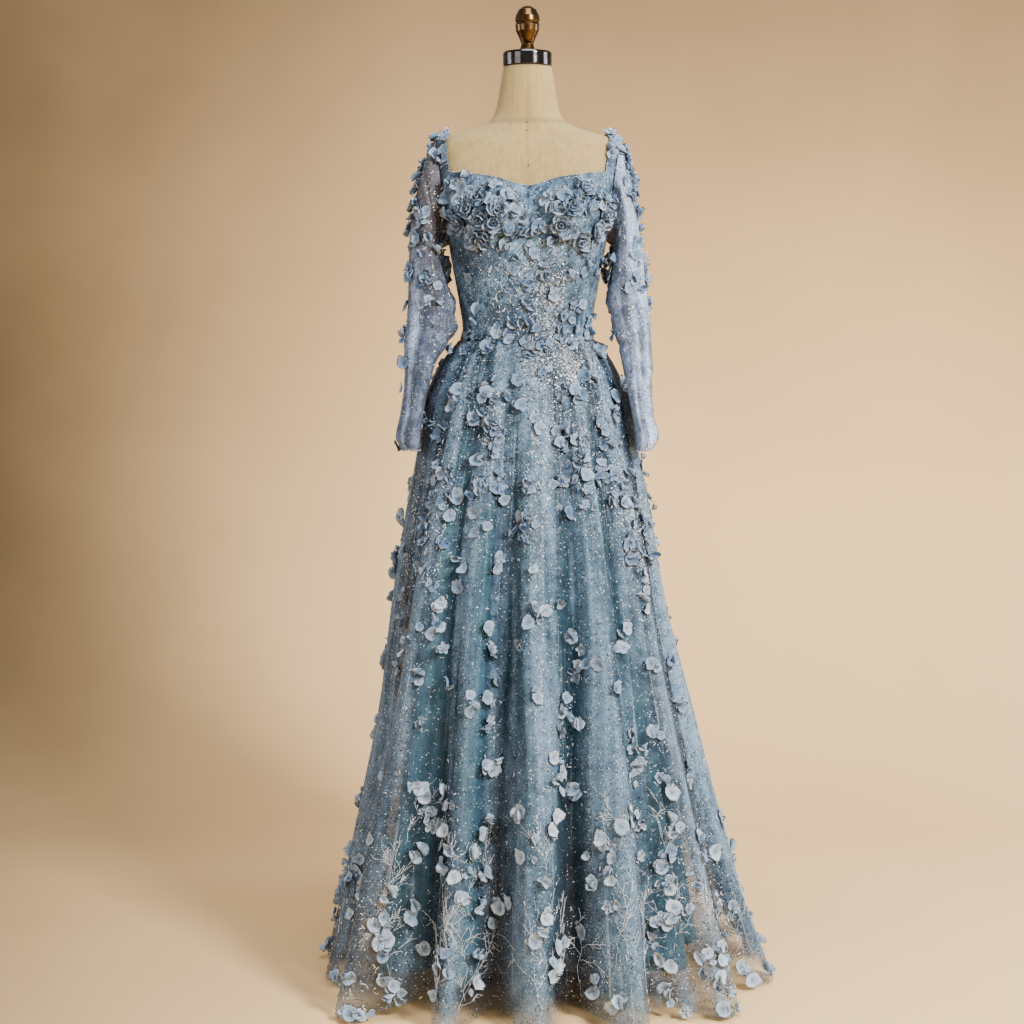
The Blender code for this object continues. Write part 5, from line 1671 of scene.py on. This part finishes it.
def sleeve_petals(finish, sleeves):
    for name, seed in (("left", 18), ("right", 19)):
        petals = Petals(seed)
        petals.scatter(sleeves[name], 58, high_up(1150, 1450, 0.06), (6, 12), (1, 4), 12, pale=(0, 0.6))
        petals.piece(f"petals_sleeve_{name}", finish["petal"], [f"sleeve_net_{name}"])


# How many sequins lie on each cloth, and their radii
GROUP_SEQUINS, HIGH_SEQUINS, SPARKLE_SEQUINS = 8000, 7000, 1500
BACK_SEQUINS, SLEEVE_SEQUINS, OUTER_SEQUINS = 4000, 2900, 420
BODICE_SPARKLES, BODICE_ROOM = 1000, 35
SEQUIN_SIZE = (0.6, 1.5)
# How often a vine forks, and how many stand on each side of the back
FORKS, BACK_SPRAYS = 2, 9


def sequins(finish, skirts, panels, sleeves):
    """Sequins thick round the petals and along the crests, thin elsewhere."""
    made = Trims(HEXAGON, 21, 0.15)
    front = skirts["front"]
    thick = clouds(HIP_GROUPS + KNEE_GROUPS + HEM_GROUPS, 0.2)
    made.spread(front, GROUP_SEQUINS, thick, SEQUIN_SIZE)
    made.spread(front, HIGH_SEQUINS, high_up(560, 1140, 0.06), SEQUIN_SIZE, dark=0.65)
    made.spread(front, SPARKLE_SEQUINS, clouds(SPARKLES, 0), (1.0, 1.9), dark=0.35)
    made.piece("sequins_skirt_front", finish["sequin"], smooth=False)
    made = Trims(HEXAGON, 22, 0.15)
    for name in ("back_right", "back_left"):
        made.spread(skirts[name], BACK_SEQUINS, high_up(200, 1100, 0.2), SEQUIN_SIZE, dark=0.5)
    made.piece("sequins_skirt_back", finish["sequin"], smooth=False)
    made = Trims(HEXAGON, 23, 0.15)
    for cloth in panels.values():
        made.spread(cloth, int(cloth.area.sum() / BODICE_ROOM), all_over, (0.7, 1.6), dark=0.6)
    made.spread(panels["bodice_front"], BODICE_SPARKLES, clouds(SPARKLES, 0), (0.9, 1.8), dark=0.5)
    made.piece("sequins_bodice", finish["sequin"], smooth=False)
    made = Trims(HEXAGON, 24, 0.15)
    for cloth in sleeves.values():
        made.spread(cloth, SLEEVE_SEQUINS, high_up(980, 1400, 0.25), (0.7, 1.5), dark=0.6)
        outer = lambda p: np.clip(np.abs(p[..., 0]) / 20 - 10, 0, 1)
        made.spread(cloth, OUTER_SEQUINS, outer, (1.0, 1.7), dark=0.9)
    made.piece("sequins_sleeves", finish["sequin"], smooth=False)


def beads(finish, skirts, panels, sleeves):
    """Tube beads in sprays and scattered, and a line of beads along the top edges of the cups and back
    panels and round the cuffs.
    """
    tubes = Trims(bugle(), 31)
    dice = tubes.dice
    front = skirts["front"]
    for x, height, heading, length in SPRAYS:
        i, j, _ = front.nearest(x, height)
        tubes.spray(front, i, j, heading, length, FORKS)
    for name in ("back_right", "back_left"):
        cloth = skirts[name]
        low = lambda p: np.clip(1.2 - p[..., 2] / 250, 0, 1)
        for i, j in zip(*cloth.scatter(BACK_SPRAYS, low, dice)):
            tubes.spray(cloth, i, j, dice.uniform(-0.5, 0.5), dice.uniform(90, 160), FORKS)
    tubes.piece("vines", finish["bead"])
    tubes = Trims(bugle(), 32)
    for cloth, count, density in (
        (front, 700, clouds(HIP_GROUPS + HEM_GROUPS, 0.2)),
        *((skirts[name], 260, all_over) for name in ("back_right", "back_left")),
        (panels["bodice_front"], 160, all_over),
        *((sleeves[side], 70, high_up(1000, 1400, 0.3)) for side in ("left", "right")),
    ):
        i, j = cloth.scatter(count, density, dice)
        length = dice.uniform(4, 8, count)
        thick = np.full(count, BUGLE_RADIUS)
        tubes.lay(cloth, i, j, np.stack([thick, length, thick], axis=-1), dark=0.15, lean=(0, 0.1))
    tubes.piece("tube_beads", finish["bead"])
    small = Trims(BEAD, 33, 0.15)
    for name in ("cup_left", "cup_right", "bodice_back_left", "bodice_back_right"):
        edge_beads(small, panels[name], 1.0, 1.3)
    for cloth in sleeves.values():
        edge_beads(small, cloth, 0.0, 1.2)
    small.piece("edge_beads", finish["bead"])


def edge_beads(small, cloth, end, radius):
    """Beads along the top or bottom row of a cloth."""
    columns, rows = cloth.points.shape[:2]
    row = cloth.points[:, -1 if end else 0]
    length = np.insert(np.cumsum(np.linalg.norm(np.diff(row, axis=0), axis=-1)), 0, 0)
    count = int(length[-1] / (radius * 2.6))
    i = np.interp(np.linspace(0, length[-1], count), length, np.arange(columns))
    j = np.full(count, (rows - 1.2) * end + 0.2 * (1 - end))
    sizes = small.dice.uniform(0.8, 1.2, count)[:, None] * radius * np.ones(3)
    small.lay(cloth, i, j, sizes, dark=0.6, lean=(0, 0.1), out=-0.1)


def pins(finish):
    """Small dark pins down the front of the torso."""
    made = Trims(BEAD, 41)
    angle = np.array([[math.degrees(math.asin(x / 60))] for x, _ in PINS])
    height = np.array([[height] for _, height in PINS], float)
    points = body(angle, height, FORM_BUST)[:, 0]
    axes = np.tile(np.eye(3)[None], (len(PINS), 1, 1))
    made.keep(points, axes, np.full((len(PINS), 3), 1.5), 0.0)
    made.piece("form_pins", finish["stand"], "stand")


def zip_teeth(finish):
    """The closed teeth below the slider, either side of the centre back seam."""
    made = Trims(BEAD, 42)
    height = np.arange(WAIST + 6, SLIDER_FOOT, TOOTH_PITCH)
    line = bodice(np.full(len(height), 180.0), height, BODICE_WALL)
    for side in (-1, 1):
        centres = line + np.array([side * TOOTH_SIZE[0] * 0.8, 0, 0])
        axes = np.tile(np.eye(3)[None], (len(height), 1, 1))
        made.keep(centres, axes, np.tile(TOOTH_SIZE, (len(height), 1)), 0.0)
    made.piece("zip_teeth", finish["zip"], "zip")


# --------------------------------------------------------------------- stage and camera


def backdrop():
    """A floor and, behind it, a curve up into a wall no wider than the view needs."""
    steps = np.radians(np.linspace(0, 90, 25))
    start, bend = WALL["start"], WALL["bend"]
    curve = [(start + bend * math.sin(a), bend - bend * math.cos(a)) for a in steps]
    curve += [(start + bend, WALL["top"])]
    across = np.linspace(-WALL["half_width"], WALL["half_width"], 15)
    points = np.array([[(x, y, z) for y, z in curve] for x in across])
    made, tree, shader = new_material("warm_backdrop", Roughness=0.9)
    where = add(tree, "SeparateXYZ", ("Vector", place(tree)))
    # Painted light: backdrop and floor are painted darker to the left and towards the top, as if the
    # lamps reached less there, with a little random tone
    lit = remap(tree, where.outputs["X"], -1.6, -0.3)
    lit = times(tree, lit, remap(tree, where.outputs["Z"], 2.4, 0.7, 0.05, 1))
    lit = plus(tree, lit, remap(tree, noise(tree, place(tree), 1.5, 3), 0.3, 0.7, -0.05, 0.05))
    link(tree, blended(tree, lit, BACKDROP_SHADED, BACKDROP_LIT), shader, "Base Color")
    ends = (-FLOOR_HALF, FLOOR_HALF)
    corners = np.array([[(x, y, 0.0) for y in ends] for x in ends])
    for name, grid in (("backdrop", points), ("floor", corners)):
        mesh = bpy.data.meshes.new(name)
        mesh.from_pydata(grid.reshape(-1, 3).tolist(), [], grid_faces(*grid.shape[:2]).tolist())
        mesh.shade_smooth()
        mesh.materials.append(made)
        obj = bpy.data.objects.new(name, mesh)
        bpy.context.scene.collection.objects.link(obj)


def lamp(name, place_at, aim_height, size, power, colour):
    light = bpy.data.lights.new(name, "AREA")
    light.shape = "RECTANGLE"
    light.size, light.size_y = size
    light.energy = power
    light.color = colour
    obj = bpy.data.objects.new(name, light)
    obj.visible_camera = False
    obj.location = place_at
    aim = np.array((0, 0, aim_height), float) - place_at
    obj.rotation_euler = Vector(aim.tolist()).to_track_quat("-Z", "Y").to_euler()
    bpy.context.scene.collection.objects.link(obj)


# Name, place in m, height that it aims at, width and height in m, watts and colour
LAMPS = (
    ("key", (2.1, -2.8, 2.6), 0.9, (0.8, 0.8), 185, (1, 0.97, 0.92)),
    ("fill", (-3.2, -3.0, 1.6), 0.8, (2.0, 2.0), 34, (1.0, 0.93, 0.86)),
    ("top", (0.2, -0.6, 3.9), 1.0, (1.6, 1.6), 44, (1, 1, 1)),
    ("right", (2.6, 0.2, 1.3), 0.9, (1.0, 1.6), 26, (1, 1, 1)),
    ("left", (-2.6, 0.2, 1.3), 0.9, (1.0, 1.6), 16, (1, 1, 1)),
)
ROOM_COLOUR, ROOM_STRENGTH = (1.0, 0.95, 0.9, 1), 0.3


def lights():
    for settings in LAMPS:
        lamp(*settings)
    world = bpy.data.worlds.new("soft_room")
    world.use_nodes = True
    shade = world.node_tree.nodes["Background"]
    shade.inputs["Color"].default_value = ROOM_COLOUR
    shade.inputs["Strength"].default_value = ROOM_STRENGTH
    bpy.context.scene.world = world


def camera():
    lens = bpy.data.cameras.new("camera")
    lens.lens = LENS
    obj = bpy.data.objects.new("camera", lens)
    obj.location = CAMERA_AT
    obj.rotation_euler = (math.radians(90 - CAMERA_DOWN), 0, 0)
    bpy.context.scene.collection.objects.link(obj)
    bpy.context.scene.camera = obj
    bpy.context.scene.view_settings.look = "AgX - Medium High Contrast"


def materials():
    return {
        "net": net_material("glitter_net", NET_PALE, NET_DEEP, 0.34, 0.85),
        "sleeve": net_material("sleeve_net", SLEEVE_PALE, SLEEVE_DEEP, 0.5, 0.5),
        "satin": satin_material(),
        "bodice": bodice_material(),
        "petal": petal_material(),
        "sequin": trim_material("silver_sequins", SEQUIN_DARK, SEQUIN_PALE, 0.3, 0.1),
        "bead": trim_material("silver_beads", (0.2, 0.23, 0.28), (0.92, 0.95, 1.0), 0.3, 0.0),
        "linen": linen_material(),
        "chrome": metal_material("cap_chrome", (0.13, 0.12, 0.12), (0.06, 0.055, 0.055), 0.1),
        "bronze": metal_material("knob_bronze", (0.15, 0.085, 0.032), (0.05, 0.026, 0.012), 0.28, 0.4),
        "stand": metal_material("stand_steel", (0.09, 0.09, 0.095), (0.03, 0.03, 0.03), 0.4),
        "zip": metal_material("zip_metal", (0.42, 0.48, 0.55), (0.2, 0.24, 0.3), 0.3),
    }


def dress_cad_nodes(nodes, finish):
    """The stand and zip keep their CAD shapes, with their own materials."""
    for name in CAD_KEPT:
        obj = nodes[name]
        for number in range(len(obj.data.materials)):
            obj.data.materials[number] = finish["zip" if "zip" in name else "stand"]


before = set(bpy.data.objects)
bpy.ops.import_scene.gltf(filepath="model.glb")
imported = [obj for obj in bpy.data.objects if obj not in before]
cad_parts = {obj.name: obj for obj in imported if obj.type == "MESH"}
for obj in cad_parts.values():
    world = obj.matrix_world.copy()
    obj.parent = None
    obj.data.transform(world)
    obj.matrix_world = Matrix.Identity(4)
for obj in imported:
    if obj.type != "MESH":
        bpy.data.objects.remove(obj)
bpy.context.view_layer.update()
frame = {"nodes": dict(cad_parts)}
FINISH = materials()
skirts = skirt_pieces(FINISH)
panels = bodice_pieces(FINISH)
sleeves = sleeve_pieces(FINISH)
form_pieces(FINISH)
pins(FINISH)
zip_teeth(FINISH)
dress_cad_nodes(frame["nodes"], FINISH)
bust_petals(FINISH, panels)
skirt_petals(FINISH, skirts)
sleeve_petals(FINISH, sleeves)
sequins(FINISH, skirts, panels, sleeves)
beads(FINISH, skirts, panels, sleeves)
backdrop()
lights()
camera()
